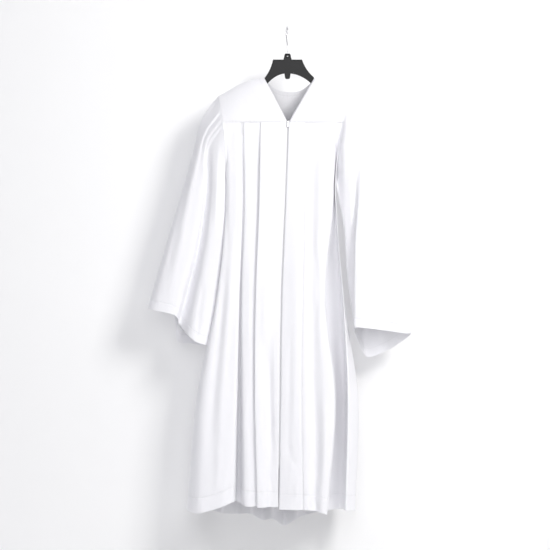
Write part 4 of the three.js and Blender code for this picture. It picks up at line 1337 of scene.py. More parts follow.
@dataclass
class Back(CutPiece):
    """The fluted back below its yoke."""

    flute_ease: float = 0.8
    tuck: tuple[float, float] = (-1.2, 3.0)
    rows: int = 170
    length: float = 1140.0

    def lay(self) -> Laid:
        """Lays the back over its flutes.

        Returns:
            The cloth.
        """
        rows = rows_with(self.rows, self.length, HEM_DEPTH)
        top = BACK_SEAM_Z - SEAM
        left = side_edge(Side.LEFT, lerp(top, SIDE_SEAMS[Side.LEFT].hem, rows), 1)
        right = side_edge(Side.RIGHT, lerp(top, SIDE_SEAMS[Side.RIGHT].hem, rows), 1)
        depth = through(BODY_Y, BACK_DEPTH, rows)
        lines = [left]
        for flute in FLUTES:
            x = lerp(left[:, 0], right[:, 0], lerp(flute.seam, flute.hem, rows))
            y = depth + lerp(flute.out[0], flute.out[1], rows**self.flute_ease)
            lines.append(np.stack([x, y, lerp(top, flute.edge, rows)], axis=1))
        points = over_folds(np.stack([*lines, right], axis=1), self.pitch)
        points = tuck_under(points, BACK_SEAM_Z, *self.tuck)
        z = points[..., 2]
        laid = Laid(points, np.ones(z.shape), z - z[-1], BACK_SEAM_Z - z + PAST_SEAM_ROW)
        laid.hem_up(HEM_DEPTH)
        return laid


@dataclass
class Sleeve(CutPiece):
    """A bell sleeve, one ring of cloth gathered into the armhole.

    Each tuck of its head is drift out of an even pitch: waves of a size, a number round the armhole and a
    phase. The tucks swell and shrink by tuck_swing, and rise and fade with shares of the way down.
    """

    side: Side = Side.LEFT
    tucks: int = 17
    tuck_proud: float = 3.4
    tuck_rise: float = 0.03
    tuck_fade: float = 0.15
    tuck_mean: float = 0.75
    tuck_swing: float = 0.35
    swings: int = 3
    drift: tuple[tuple[float, int, float], ...] = ((0.011, 5, 0.7), (0.006, 11, 0.0))
    head_out: float = 0.8
    seated_out: float = 0.2
    beside_by: float = 0.08
    turn: float = 9.0
    head_rows: int = 26
    head_share: float = 0.16
    rows: int = 104
    length: float = 620.0
    back_creases: tuple[Crease, ...] = ()

    def line(self, fold: SleeveLine, facing: float, rows: Array) -> Array:
        """Works out one fold line.

        Args:
            fold: The fold line.
            facing: -1 on the sleeve's front, 1 on its back.
            rows: Shares of the way down.

        Returns:
            Its point at each share.
        """
        hole = ARMHOLES[self.side]
        start_z = lerp(hole.top, hole.low, fold.at)
        seam_x, out = hole.seam(np.array(start_z))
        y = through(SLEEVE_STATIONS, (facing * float(out), *fold.y), rows)
        z = lerp(start_z, fold.hem, rows)
        if fold.beside is None:
            x = through(SLEEVE_STATIONS, (float(seam_x) + self.side.value * self.head_out, *fold.x), rows)
        else:
            away = lerp(self.head_out, fold.beside, smoothstep(rows, 0, self.beside_by))
            x = side_edge(self.side, z, facing)[:, 0] + self.side.value * away
        return np.stack([x, y, z], axis=1)

    def lay(self) -> Laid:
        """Lays the sleeve round its fold lines and gathers its head.

        Returns:
            The cloth.
        """
        head = np.linspace(0, self.head_share, self.head_rows)
        rows = np.unique(np.concatenate([head, rows_with(self.rows, self.length, SLEEVE_HEM_DEPTH)]))
        fronts, backs = SLEEVE_FRONTS[self.side], SLEEVE_BACKS[self.side]
        ring = [(fold, -1) for fold in fronts] + [(fold, 1) for fold in backs] + [(fronts[0], 1)]
        lines = np.stack([self.line(fold, facing, rows) for fold, facing in ring], axis=1)
        lines[:, -1] = lines[:, 0]
        points = over_folds(lines, self.pitch, ring=True)
        self.seat(points)
        out = np.tanh(points[..., 1] / self.turn)
        self.gather(points, rows, out)
        z = points[..., 2]
        from_head = np.linalg.norm(points - points[:1], axis=2)
        laid = Laid(points, out, z - z[-1], from_head, ring=True)
        laid.hem_up(SLEEVE_HEM_DEPTH)
        laid.out = np.maximum(out, 0)
        laid.press(self.back_creases)
        laid.out = np.minimum(out, 0)
        return laid

    def seat(self, points: Array) -> None:
        """Puts the sleeve's first row on the armhole's seam.

        Args:
            points: The sleeve's points, which it moves.
        """
        hole = ARMHOLES[self.side]
        seam_x, out = hole.seam(points[0, :, 2])
        points[0, :, 0] = seam_x + self.side.value * self.seated_out
        points[0, :, 1] = np.sign(points[0, :, 1]) * out

    def gather(self, points: Array, rows: Array, out: Array) -> None:
        """Raises the small uneven tucks at the sleeve's head.

        Args:
            points: The sleeve's points, which it moves.
            rows: Each row's share of the way down.
            out: Which way is out at each point.
        """
        share = np.linspace(0, 1, points.shape[1])[None]
        strength = np.exp(-rows / self.tuck_fade) * np.minimum(rows / self.tuck_rise, 1)
        near_top = np.maximum(np.cos(2 * np.pi * share), 0) ** 0.5
        uneven = share
        for size, turns, phase in self.drift:
            uneven = uneven + size * np.sin(2 * np.pi * turns * share + phase)
        tall = self.tuck_mean + self.tuck_swing * np.sin(2 * np.pi * self.swings * share + 1)
        wave = np.sin(2 * np.pi * self.tucks * uneven) * tall
        lift = self.tuck_proud * strength[:, None] * near_top * wave
        points[..., 1] += lift * out
        points[..., 0] += lift * self.side.value * (1 - np.abs(out))


# Zip


def block(bm: bmesh.types.BMesh, middle: Place, size: Place) -> list[bmesh.types.BMVert]:
    """Adds a block.

    Args:
        bm: The mesh.
        middle: Where its middle is.
        size: Its width, depth and height.

    Returns:
        Its vertices.
    """
    matrix = Matrix.Translation(middle) @ Matrix.Diagonal((*size, 1))
    return bmesh.ops.create_cube(bm, size=1, matrix=matrix)["verts"]


def bevel(bm: bmesh.types.BMesh, edges: list[bmesh.types.BMEdge], offset: float, segments: int) -> None:
    """Rounds edges.

    Args:
        bm: The mesh.
        edges: The edges.
        offset: How far back the rounding starts.
        segments: How many faces it has.
    """
    bmesh.ops.bevel(
        bm, geom=edges, offset=offset, segments=segments, profile=0.5, affect="EDGES", material=-1,
        clamp_overlap=True,
    )


def depth_of(edge: bmesh.types.BMEdge) -> float:
    """How far an edge runs from front to back."""
    return abs(edge.verts[0].co.y - edge.verts[1].co.y)


def edges_of(verts: Sequence[bmesh.types.BMVert]) -> list[bmesh.types.BMEdge]:
    """Every edge that meets the vertices, each once and in the vertices' order."""
    return list(dict.fromkeys(edge for vert in verts for edge in vert.link_edges))


LEVEL = 0.1


def zip_line(z: Array) -> tuple[Array, Array]:
    """Finds the middle of the zip.

    Args:
        z: Heights.

    Returns:
        Its x at each, and the y of the cloth's edge.
    """
    left, right = FRONT_FOLDS[Side.LEFT][0], FRONT_FOLDS[Side.RIGHT][0]
    share = (FRONT_SEAM_Z - z) / (FRONT_SEAM_Z - left.hem)
    x = (through(BODY_X, left.x, share) + through(BODY_X, right.x, share)) / 2
    return x, through(BODY_Y, left.y, share)


@dataclass
class Zip:
    """The zip: two woven tapes behind the fronts' edges, their teeth, the slider and its pull tab."""

    tape: Material
    metal: Material
    top_z: float = FRONT_SEAM_Z - 0.6
    foot_z: float = -1316.0
    tape_wide: float = 12.0
    tape_thick: float = 0.6
    tape_behind: float = 1.7
    tape_rows: int = 150
    tape_columns: tuple[float, ...] = (0.3, 1.5, 1.8, 2.4, 5, 8)
    rib_at: float = 1.8
    rib: float = 0.35
    rib_spread: float = 0.2
    tooth: Place = (2.0, 0.9, 0.85)
    tooth_aside: float = 0.55
    teeth_behind: float = 0.75
    teeth_below_top: float = 12.0
    tooth_pitch: float = 2.6
    slider_wide: float = 8.0
    slider_foot: float = 0.66
    slider_tall: float = 11.0
    slider_thick: float = 1.6
    slider_top: float = -284.0
    slider_proud: float = 2.5
    slider_corner: float = 1.8
    slider_rim: float = 0.35
    neck_wide: float = 2.2
    neck_tall: float = 5.0
    neck_below_seam: float = 3.3
    neck_behind: float = 0.6
    hinge_z: float = -288.5
    hinge_proud: float = 0.8 + SEAM + 1.4
    arch_gap: float = 2.4
    arch_wire: float = 0.5
    arch_rise: float = 2.9
    arch_flat: float = 2.0
    tab_wide: float = 6.4
    tab_long: float = 16.5
    tab_thick: float = 1.2
    tab_square: float = 3.4
    tab_rim: float = 0.25
    eye_wide: float = 3.4
    eye_long: float = 4.4
    eye_square: float = 2.8

    def build_tape(self, side: Side) -> bpy.types.Object:
        """Makes one tape, just behind its front's edge.

        Args:
            side: Which front it is sewn to.

        Returns:
            The tape.
        """
        z = np.linspace(self.top_z, self.foot_z, self.tape_rows)[:, None]
        x, y = zip_line(z)
        across = np.array([[*self.tape_columns, self.tape_wide]]) * side.value
        rib = self.rib * np.exp(-((np.abs(across) - self.rib_at) ** 2) / self.rib_spread)
        points = np.stack(np.broadcast_arrays(x + across, y + self.tape_behind - rib, z), axis=2)
        far = np.full(points.shape[:2], FAR_FROM_EDGES)
        laid = Laid(points, np.full(points.shape[:2], -1.0), far, far)
        thing = cloth_object(f"tape_{side.word}", laid, self.tape, self.tape_thick)
        attach(thing, [f"zip_tape_{side.word}"])
        return thing

    def build_teeth(self) -> bpy.types.Object:
        """Makes the two rows of teeth that lock in the slit.

        Returns:
            The teeth.
        """
        bm = bmesh.new()
        places = np.arange(self.top_z - self.teeth_below_top, self.foot_z, -self.tooth_pitch / 2)
        xs, ys = zip_line(places)
        for k, (x, y, z) in enumerate(zip(xs, ys, places)):
            sign = 1 if k % 2 else -1
            block(bm, (x + sign * self.tooth_aside, y + self.teeth_behind, z), self.tooth)
        thing = finish_object(scaled_to_metres(bm), "zip_teeth", self.tape, smooth=False)
        return attach(thing)

    def build_slider(self) -> bpy.types.Object:
        """Makes the slider: a rounded plate, the neck through the slit and the arch for the tab.

        Returns:
            The slider.
        """
        x, y = (float(v) for v in zip_line(np.array(self.hinge_z)))
        plate_y = y - self.slider_proud - self.slider_thick / 2
        bm = bmesh.new()
        middle = self.slider_top - self.slider_tall / 2
        plate = block(bm, (x, plate_y, middle), (self.slider_wide, self.slider_thick, self.slider_tall))
        foot = [v for v in plate if v.co.z < middle]
        bmesh.ops.scale(bm, vec=(self.slider_foot, 1, 1), verts=foot, space=Matrix.Translation((-x, 0, 0)))
        corners = [e for e in bm.edges if depth_of(e) > self.slider_thick / 2]
        bevel(bm, corners, self.slider_corner, 4)
        rims = [e for e in bm.edges if depth_of(e) < LEVEL and not e.is_boundary]
        bevel(bm, rims, self.slider_rim, 2)
        neck_back = y + self.neck_behind
        neck_y, neck_z = (neck_back + plate_y) / 2, FRONT_SEAM_Z - self.neck_below_seam
        block(bm, (x, neck_y, neck_z), (self.neck_wide, neck_back - plate_y, self.neck_tall))
        self.add_arch(bm, x, plate_y)
        thing = finish_object(scaled_to_metres(bm), "slider", self.metal)
        shade_by_angle(thing)
        return attach(thing, ["zip_slider"])

    def add_arch(self, bm: bmesh.types.BMesh, x: float, plate_y: float) -> None:
        """Adds the arch that the tab hangs in, a strip spun over half a turn.

        Args:
            bm: The slider's mesh.
            x: The slider's middle across.
            plate_y: Its plate's middle plane.
        """
        reach = self.arch_gap + self.slider_thick / 2 + self.arch_wire
        at = Matrix.Translation((x, plate_y, self.hinge_z + self.arch_rise))
        upright = at @ Matrix.Rotation(math.pi / 2, 4, "X")
        strip = bmesh.ops.create_circle(bm, cap_ends=False, radius=self.arch_wire, segments=12)["verts"]
        bmesh.ops.transform(bm, matrix=upright @ Matrix.Diagonal((self.arch_flat, 1, 1, 1)), verts=strip)
        before = set(bm.verts)
        bmesh.ops.spin(
            bm, geom=strip + edges_of(strip), cent=(x, plate_y, self.hinge_z), axis=(1, 0, 0),
            angle=math.pi, steps=16, use_merge=False,
        )
        made = [v for v in bm.verts if v not in before] + strip
        middle = Matrix.Translation((0, -plate_y, 0))
        bmesh.ops.scale(bm, vec=(1, reach / self.arch_rise, 1), verts=made, space=middle)

    def build_tab(self) -> bpy.types.Object:
        """Makes the pull tab: a rounded plate with its eye, hanging in the arch.

        Returns:
            The tab.
        """
        x, y = (float(v) for v in zip_line(np.array(self.hinge_z)))
        y -= self.hinge_proud + self.slider_thick + self.arch_gap / 2
        top = self.hinge_z + self.tab_thick / 2
        eye_z = top - self.tab_thick - self.eye_long / 2
        bm = bmesh.new()
        plate = (self.tab_wide, self.tab_long, self.tab_square)
        outer = self.rounded(bm, (x, y, top - self.tab_long / 2), *plate)
        eye = self.rounded(bm, (x, y, eye_z), self.eye_wide, self.eye_long, self.eye_square)
        bmesh.ops.bridge_loops(bm, edges=outer + eye)
        lift = bmesh.ops.extrude_face_region(bm, geom=list(bm.faces))
        moved = [g for g in lift["geom"] if isinstance(g, bmesh.types.BMVert)]
        bmesh.ops.translate(bm, vec=(0, self.tab_thick, 0), verts=moved)
        bmesh.ops.recalc_face_normals(bm, faces=bm.faces)
        rims = [e for e in bm.edges if len(e.link_faces) == 2 and e.calc_face_angle() > 1]
        bevel(bm, rims, self.tab_rim, 2)
        thing = finish_object(scaled_to_metres(bm), "pull_tab", self.metal)
        shade_by_angle(thing)
        return attach(thing, ["zip_pull_tab"], body="pull_tab")

    def rounded(
        self, bm: bmesh.types.BMesh, middle: Place, wide: float, tall: float, square: float
    ) -> list[bmesh.types.BMEdge]:
        """Adds a rounded loop in the XZ plane, half the tab's thickness in front of its middle.

        Args:
            bm: The mesh.
            middle: The middle of that part of the tab.
            wide: Its width.
            tall: Its height.
            square: How square its corners are, from 2 for round.

        Returns:
            The loop's edges.
        """
        x, y, z = middle
        ring = bmesh.ops.create_circle(bm, cap_ends=False, radius=1, segments=28)["verts"]
        for v in ring:
            angle = math.atan2(v.co.y, v.co.x)
            c, s = math.cos(angle), math.sin(angle)
            reach = (abs(c) ** square + abs(s) ** square) ** (-1 / square)
            v.co = Vector((x + reach * c * wide / 2, y - self.tab_thick / 2, z + reach * s * tall / 2))
        return edges_of(ring)

    def build(self) -> list[bpy.types.Object]:
        """Builds all of the zip's pieces."""
        tapes = [self.build_tape(side) for side in Side]
        return [*tapes, self.build_teeth(), self.build_slider(), self.build_tab()]


def shade_by_angle(thing: bpy.types.Object, degrees: float = 35) -> None:
    """Marks a mesh's edges sharp where its faces meet at more than an angle.

    Args:
        thing: The piece.
        degrees: The angle.
    """
    bm = bmesh.new()
    bm.from_mesh(thing.data)
    for edge in bm.edges:
        edge.smooth = len(edge.link_faces) != 2 or edge.calc_face_angle() < math.radians(degrees)
    bm.to_mesh(thing.data)
    bm.free()


# Hanger


def bend(a: Point, b: Point, c: Point) -> list[Point]:
    """Draws a curve from one point to another, pulled towards a third.

    Args:
        a: Where it starts.
        b: What pulls it.
        c: Where it ends.

    Returns:
        Its points.
    """
    return [
        tuple((1 - t) ** 2 * p + 2 * t * (1 - t) * q + t * t * r for p, q, r in zip(a, b, c))
        for t in np.linspace(0, 1, 11)
    ]


@dataclass
class Hanger:
    """The moulded dress hanger and its wire hook."""

    plastic: Material
    metal: Material
    thick: float = 8.0
    edge: float = 0.9
    rim: float = 2.4
    recess: float = 1.5
    recess_wall: float = 0.7
    into_neck: float = 4.0
    arm_points: int = 14
    under: float = 2.9
    arm_deep: float = 19.0
    end_deep: float = 12.0
    ends: tuple[float, float] = (-196.0, 182.0)
    crown: tuple[float, float] = (-42.0, 45.0)
    crown_z: float = -98.0
    crown_slope: float = 0.3
    crown_rise: float = 21.0
    tip: Point = (2.5, 5.0)
    knee: float = 0.7
    arch_z: float = -139.5
    arch_knee: float = 0.4
    arch_drop: float = 4.0
    arch_fillet: float = 2.0
    tab_half: float = 7.4
    tab_z: float = -156.0
    tab_corner: tuple[Point, ...] = ((0, 4), (1.4, 1.2), (4, 0))
    nub: tuple[Point, ...] = ((-12.6, -98), (-11.2, -94), (-9.2, -84), (-7.4, -80.6), (-6, -80))
    window: float = 2.4
    window_z: float = -88.0
    wire: float = 3.2
    shaft: tuple[float, ...] = (-93, -80, -68, -56)
    crook: float = 17.0
    crook_degrees: tuple[float, float] = (-48.0, 200.0)
    turn_degrees: float = 7.0

    @property
    def middle(self) -> float:
        """The hanger's middle across."""
        return sum(self.crown) / 2

    def arm(self, side: Side, end: float, drop: Callable[[float], float]) -> list[Point]:
        """One edge of an arm, from just inside the neck to its end.

        Args:
            side: Which arm.
            end: Where it ends.
            drop: How far below the shoulder line the edge is, by its share of the way out.

        Returns:
            The edge's points.
        """
        shoulder = SHOULDERS[side]
        inside = shoulder.x[0] - side.value * self.into_neck
        xs = np.linspace(inside, end, self.arm_points)
        heights = shoulder.height(xs)
        last = self.arm_points - 1
        return [(float(x), float(z) - drop(k / last)) for k, (x, z) in enumerate(zip(xs, heights))]

    def slope(self, crown_x: float, tip: Point) -> list[Point]:
        """The crown's edge, from its top down to the neck of an arm.

        Args:
            crown_x: Where the crown's flat top ends.
            tip: Where the slope ends.

        Returns:
            The edge's points.
        """
        turn = (crown_x + (tip[0] - crown_x) * self.crown_slope, tip[1] + self.crown_rise)
        return bend((crown_x, self.crown_z), turn, tip)

    def arch(self, tip: Point, side: Side) -> list[Point]:
        """The lower edge between an arm and the tongue.

        Args:
            tip: Where the arm's lower edge starts.
            side: Which arm.

        Returns:
            The edge's points, after the tip.
        """
        turn = (lerp(tip[0], self.middle, self.arch_knee), self.arch_z - self.arch_drop)
        foot = (self.middle + side.value * (self.tab_half + self.arch_fillet), self.arch_z)
        return bend(tip, turn, foot)[1:]

    def outline(self) -> list[Point]:
        """The body's outline, from the left arm's end round by the top.

        Returns:
            The points, clockwise as seen from the front.
        """
        centre = self.middle
        upper = {side: self.arm(side, end, lambda _: self.under) for side, end in zip(Side, self.ends)}
        lower = {
            side: self.arm(side, end, lambda t: self.under + lerp(self.arm_deep, self.end_deep, t))
            for side, end in zip(Side, self.ends)
        }
        starts = {side: upper[side][0] for side in Side}
        tips = {side: (x + side.value * self.tip[0], z + self.tip[1]) for side, (x, z) in starts.items()}
        knees = {side: (tips[side][0] + side.value * self.knee, starts[side][1]) for side in Side}
        tab = [(self.tab_half - x, self.tab_z + z) for x, z in self.tab_corner]
        return [
            *upper[Side.LEFT][:0:-1],
            knees[Side.LEFT],
            *self.slope(self.crown[0], tips[Side.LEFT])[::-1],
            *[(centre + x, z) for x, z in self.nub],
            *[(centre - x, z) for x, z in self.nub[::-1]],
            *self.slope(self.crown[1], tips[Side.RIGHT]),
            knees[Side.RIGHT],
            *upper[Side.RIGHT][1:],
            *lower[Side.RIGHT][::-1],
            *self.arch(lower[Side.RIGHT][0], Side.RIGHT),
            *[(centre + x, z) for x, z in tab],
            *[(centre - x, z) for x, z in tab[::-1]],
            *self.arch(lower[Side.LEFT][0], Side.LEFT)[::-1],
            *lower[Side.LEFT],
        ]

    def build_body(self) -> bpy.types.Object:
        """Makes the body: its outline drawn out to a plate, with a raised rim round each recessed face.

        Returns:
            The body.
        """
        bm = bmesh.new()
        ring = [bm.verts.new((x, self.thick / 2, z)) for x, z in self.outline()]
        rim = [bm.edges.new((ring[k - 1], ring[k])) for k in range(len(ring))]
        window = bmesh.ops.create_circle(
            bm, cap_ends=False, radius=self.window, segments=16,
            matrix=Matrix.Translation((self.middle, self.thick / 2, self.window_z))
            @ Matrix.Rotation(math.pi / 2, 4, "X"),
        )["verts"]
        rim += edges_of(window)
        bmesh.ops.triangle_fill(bm, edges=rim, use_beauty=True, normal=(0, 1, 0))
        drawn = bmesh.ops.extrude_face_region(bm, geom=list(bm.faces), use_keep_orig=True)["geom"]
        moved = [g for g in drawn if isinstance(g, bmesh.types.BMVert)]
        bmesh.ops.translate(bm, vec=(0, -self.thick, 0), verts=moved)
        bmesh.ops.recalc_face_normals(bm, faces=bm.faces)
        level = [e for e in bm.edges if len(e.link_faces) == 2 and depth_of(e) < LEVEL]
        bevel(bm, [e for e in level if e.calc_face_angle() > 1.2], self.edge, 3)
        for facing in (-1, 1):
            flat = [f for f in bm.faces if f.normal.y * facing > 0.99]
            bmesh.ops.inset_region(bm, faces=flat, thickness=self.rim - self.edge, use_even_offset=False)
            bmesh.ops.inset_region(
                bm, faces=flat, thickness=self.recess_wall, depth=-self.recess, use_even_offset=False
            )
        thing = finish_object(scaled_to_metres(bm), "hanger_moulding", self.plastic)
        shade_by_angle(thing, 50)
        return attach(thing, ["hanger_body"])

    def build_hook(self) -> bpy.types.Object:
        """Makes the wire hook: a shaft that bends aside and comes round over the rail.

        Returns:
            The hook.
        """
        radius = self.crook + self.wire / 2
        points = [Vector((self.middle, 0, z)) for z in self.shaft]
        turn = Matrix.Rotation(math.radians(self.turn_degrees), 4, "Z")
        for t in np.linspace(0, 1, 25):
            angle = math.radians(lerp(*self.crook_degrees, float(t)))
            y, z = radius * math.cos(angle), -self.crook + radius * math.sin(angle)
            points.append(turn @ Vector((0, y, z)))
        curve = bpy.data.curves.new("hook_line", "CURVE")
        curve.dimensions = "3D"
        curve.bevel_depth = self.wire / 2
        curve.bevel_resolution = 4
        curve.use_fill_caps = True
        curve.resolution_u = 4
        spline = curve.splines.new("NURBS")
        spline.points.add(len(points) - 1)
        for knot, place in zip(spline.points, points):
            knot.co = (*place, 1)
        spline.use_endpoint_u = True
        spline.order_u = 4
        drawn = bpy.data.objects.new("hook_line", curve)
        bpy.context.scene.collection.objects.link(drawn)
        depsgraph = bpy.context.evaluated_depsgraph_get()
        bm = bmesh.new()
        bm.from_mesh(bpy.data.meshes.new_from_object(drawn.evaluated_get(depsgraph)))
        bpy.data.objects.remove(drawn)
        bmesh.ops.remove_doubles(bm, verts=bm.verts, dist=0.01)
        bmesh.ops.recalc_face_normals(bm, faces=bm.faces)
        thing = finish_object(scaled_to_metres(bm), "hook_wire", self.metal)
        shade_by_angle(thing, 50)
        return attach(thing, ["hanger_hook"])

    def build(self) -> list[bpy.types.Object]:
        """Builds the hanger's two pieces."""
        return [self.build_body(), self.build_hook()]


# Studio


@dataclass(frozen=True)
class Lamp:
    """A square lamp: where it stands, the length of its sides, its power in watts and its colour."""

    name: str
    place: Place
    size: float
    power: float
    colour: Colour = (1.0, 1.0, 1.0)


@dataclass
class Studio:
    """The pale floor and wall, soft light from the right, and the camera before the robe, in metres."""

    wall_y: float = 0.13
    wall_z: float = 1.2
    wall_half: float = 3.0
    wall_tone: float = 0.9
    floor_z: float = -1.64
    floor_half: float = 8.0
    floor_tone: float = 0.86
    roughness: float = 0.95
    gloss: float = 0.1
    distance: float = 7.0
    centre: Point = (-0.036, -0.744)
    span: float = 1.65
    sensor: float = 36.0
    sees_to: float = 60.0
    sky: float = 0.37
    sky_colour: Colour = (0.92, 0.925, 1.0)
    aim_above_centre: float = 0.15
    lamps: tuple[Lamp, ...] = (
        Lamp("key", (1.5, -2.1, 0.85), 1.0, 56.0, (1.0, 0.99, 0.97)),
        Lamp("front", (-0.4, -3.2, -0.05), 2.0, 32.0),
        Lamp("back", (-1.2, 3.2, 0.4), 2.2, 48.0),
    )

    def build(self) -> None:
        """Builds the studio."""
        self.add_surfaces()
        self.add_light()
        self.add_camera()

    def pale(self, name: str, tone: float, see_through: bool) -> Material:
        """Makes the pale matt finish of the floor and the wall.

        Args:
            name: The material's name.
            tone: How light it is.
            see_through: Whether it can't be seen from behind.

        Returns:
            The material.
        """
        material = bpy.data.materials.new(name)
        material.use_nodes = True
        tree = material.node_tree
        shader = tree.nodes["Principled BSDF"]
        shader.inputs["Base Color"].default_value = (tone, tone, tone, 1)
        shader.inputs["Roughness"].default_value = self.roughness
        shader.inputs["Specular IOR Level"].default_value = self.gloss
        if see_through:
            clear = tree.nodes.new("ShaderNodeBsdfTransparent")
            mix = tree.nodes.new("ShaderNodeMixShader")
            geometry = tree.nodes.new("ShaderNodeNewGeometry")
            tree.links.new(geometry.outputs["Backfacing"], mix.inputs[0])
            tree.links.new(shader.outputs[0], mix.inputs[1])
            tree.links.new(clear.outputs[0], mix.inputs[2])
            tree.links.new(mix.outputs[0], tree.nodes["Material Output"].inputs["Surface"])
        return material

    def add_surfaces(self) -> None:
        """Adds the floor and the wall."""
        bm = bmesh.new()
        level = Matrix.Translation((0, 0, self.floor_z))
        bmesh.ops.create_grid(bm, x_segments=2, y_segments=2, size=self.floor_half, matrix=level)
        floor = finish_object(bm, "floor", self.pale("pale floor", self.floor_tone, False), smooth=False)
        bm = bmesh.new()
        upright = Matrix.Translation((0, self.wall_y, self.wall_z)) @ Matrix.Rotation(math.pi / 2, 4, "X")
        bmesh.ops.create_grid(bm, x_segments=2, y_segments=2, size=self.wall_half, matrix=upright)
        wall = finish_object(bm, "wall", self.pale("pale wall", self.wall_tone, True), smooth=False)
        wall.visible_shadow = False

    def add_light(self) -> None:
        """Adds the sky, the main lamp from the right, a weak one before the robe and one for its back."""
        world = bpy.data.worlds.new("studio")
        bpy.context.scene.world = world
        world.use_nodes = True
        sky = world.node_tree.nodes["Background"]
        sky.inputs["Color"].default_value = (*self.sky_colour, 1)
        sky.inputs["Strength"].default_value = self.sky
        for lamp in self.lamps:
            self.add_lamp(lamp)

    def add_lamp(self, lamp: Lamp) -> None:
        """Adds a square lamp that faces the robe.

        Args:
            lamp: The lamp.
        """
        light = bpy.data.lights.new(lamp.name, "AREA")
        light.energy = lamp.power
        light.size = lamp.size
        light.color = lamp.colour
        thing = bpy.data.objects.new(lamp.name, light)
        thing.location = lamp.place
        thing.rotation_mode = "QUATERNION"
        aim = Vector(lamp.place) - Vector((self.centre[0], 0, self.centre[1] + self.aim_above_centre))
        thing.rotation_quaternion = aim.to_track_quat("Z", "Y")
        thing.visible_camera = False
        bpy.context.scene.collection.objects.link(thing)

    def add_camera(self) -> None:
        """Adds the camera, level and square to the robe."""
        data = bpy.data.cameras.new("camera")
        data.sensor_width = self.sensor
        data.lens = data.sensor_width * self.distance / self.span
        data.clip_end = self.sees_to
        camera = bpy.data.objects.new("camera", data)
        camera.location = (self.centre[0], -self.distance, self.centre[1])
        camera.rotation_euler = (math.pi / 2, 0, 0)
        bpy.context.scene.collection.objects.link(camera)
        bpy.context.scene.camera = camera
        bpy.context.scene.view_settings.view_transform = "Standard"


# The robe


@dataclass
class Robe:
    """All of the robe's cut pieces, in the order that they are sewn."""

    cloth: Material
    sleeve_cloth: Material

    def yokes(self) -> list[CutPiece]:
        """The three pieces over the shoulders.

        Returns:
            The front yokes and the back one.
        """
        return [
            FrontYoke(
                "yoke_left", ("yoke_front_left",), flat=(0.195, 0.165), area=0.023, held=Held.STRETCHED,
                side=Side.LEFT, creases=YOKE_LEFT_CREASES,
            ),
            FrontYoke(
                "yoke_right", ("yoke_front_right",), flat=(0.175, 0.17), area=0.02, held=Held.STRETCHED,
                side=Side.RIGHT, shared=ARMHOLE_TROUGHS,
            ),
            BackYoke("yoke_behind", ("yoke_back",), flat=(0.455, 0.19), area=0.063, held=Held.STRETCHED),
        ]

    def skirts(self) -> list[CutPiece]:
        """The pieces that hang from the yokes.

        Returns:
            The two fronts and the back.
        """
        return [
            Front(
                "pleated_front_left", ends_of("front_left"), flat=(0.465, 1.185), area=0.385,
                side=Side.LEFT, hem=HEM_DEPTH, creases=FRONT_LEFT_CREASES,
            ),
            Front(
                "pleated_front_right", ends_of("front_right"), flat=(0.455, 1.18), area=0.42,
                side=Side.RIGHT, hem=HEM_DEPTH, creases=FRONT_RIGHT_CREASES, shared=ARMHOLE_TROUGHS,
            ),
            Back(
                "fluted_back", ends_of("back"), flat=(0.835, 1.18), area=0.69,
                hem=HEM_DEPTH, creases=BACK_CREASES,
            ),
        ]

    def sleeves(self) -> list[CutPiece]:
        """The sleeves, whose solids are a front and a back half each.

        Returns:
            The left and the right sleeve.
        """
        return [
            Sleeve(
                "sleeve_left", ends_of("sleeve_left_front", "sleeve_left_back"), flat=(0.64, 0.68),
                area=0.26, held=Held.GATHERED, side=Side.LEFT, hem=SLEEVE_HEM_DEPTH,
                creases=SLEEVE_LEFT_CREASES, back_creases=SLEEVE_LEFT_BACK_CREASES,
            ),
            Sleeve(
                "sleeve_right", ends_of("sleeve_right_front", "sleeve_right_back"), flat=(0.63, 0.765),
                area=0.245, held=Held.GATHERED, side=Side.RIGHT, hem=SLEEVE_HEM_DEPTH,
                creases=SLEEVE_RIGHT_CREASES, back_creases=SLEEVE_RIGHT_BACK_CREASES, shared=ARMHOLE_TROUGHS,
            ),
        ]

    def build(self) -> list[bpy.types.Object]:
        """Builds the cut pieces.

        Returns:
            The pieces.
        """
        body = [piece.build(self.cloth) for piece in (*self.yokes(), *self.skirts())]
        return body + [piece.build(self.sleeve_cloth) for piece in self.sleeves()]


def ends_of(*parts: str) -> tuple[str, ...]:
    """The solids that stand for parts of the cloth, an upper and a lower one each."""
    return tuple(f"{part}_{end}" for part in parts for end in ("upper", "lower"))


ARMHOLE_TROUGHS = (
    Crease(((178, -225), (164, -290), (150, -350), (150, -470), (153, -660)), 12, -26),
)
YOKE_LEFT_CREASES = (
    Crease(((-117, -207), (-60, -240), (-18, -273)), 7, -1.6),
    Crease(((-100, -190), (-58, -228)), 9, 1.4),
)
FRONT_LEFT_CREASES = (
    Crease(((-183, -296), (-186, -399), (-181, -474), (-178, -700)), 6, -3),
    Crease(((-64, -900), (-60, -1020), (-53, -1150), (-42, -1330)), 15, -13),
    Crease(((-34, -1180), (-44, -1240), (-62, -1290)), 8, 2.6),
    Crease(((-56, -1330), (-44, -1360), (-32, -1420)), 7, -2.4),
    Crease(((-150, -1300), (-168, -1345), (-176, -1420)), 9, -2.6),
    Crease(((-210, -1230), (-204, -1300), (-212, -1400)), 9, 2.8),
    Crease(((-66, -700), (-62, -980), (-58, -1300)), 11, 3),
    Crease(((-160, -560), (-172, -800), (-196, -1100), (-204, -1400)), 12, 4),
    Crease(((-178, -700), (-206, -980), (-236, -1300)), 11, -4),
    Crease(((-106, -620), (-112, -900), (-104, -1250)), 8, 2.2),
)
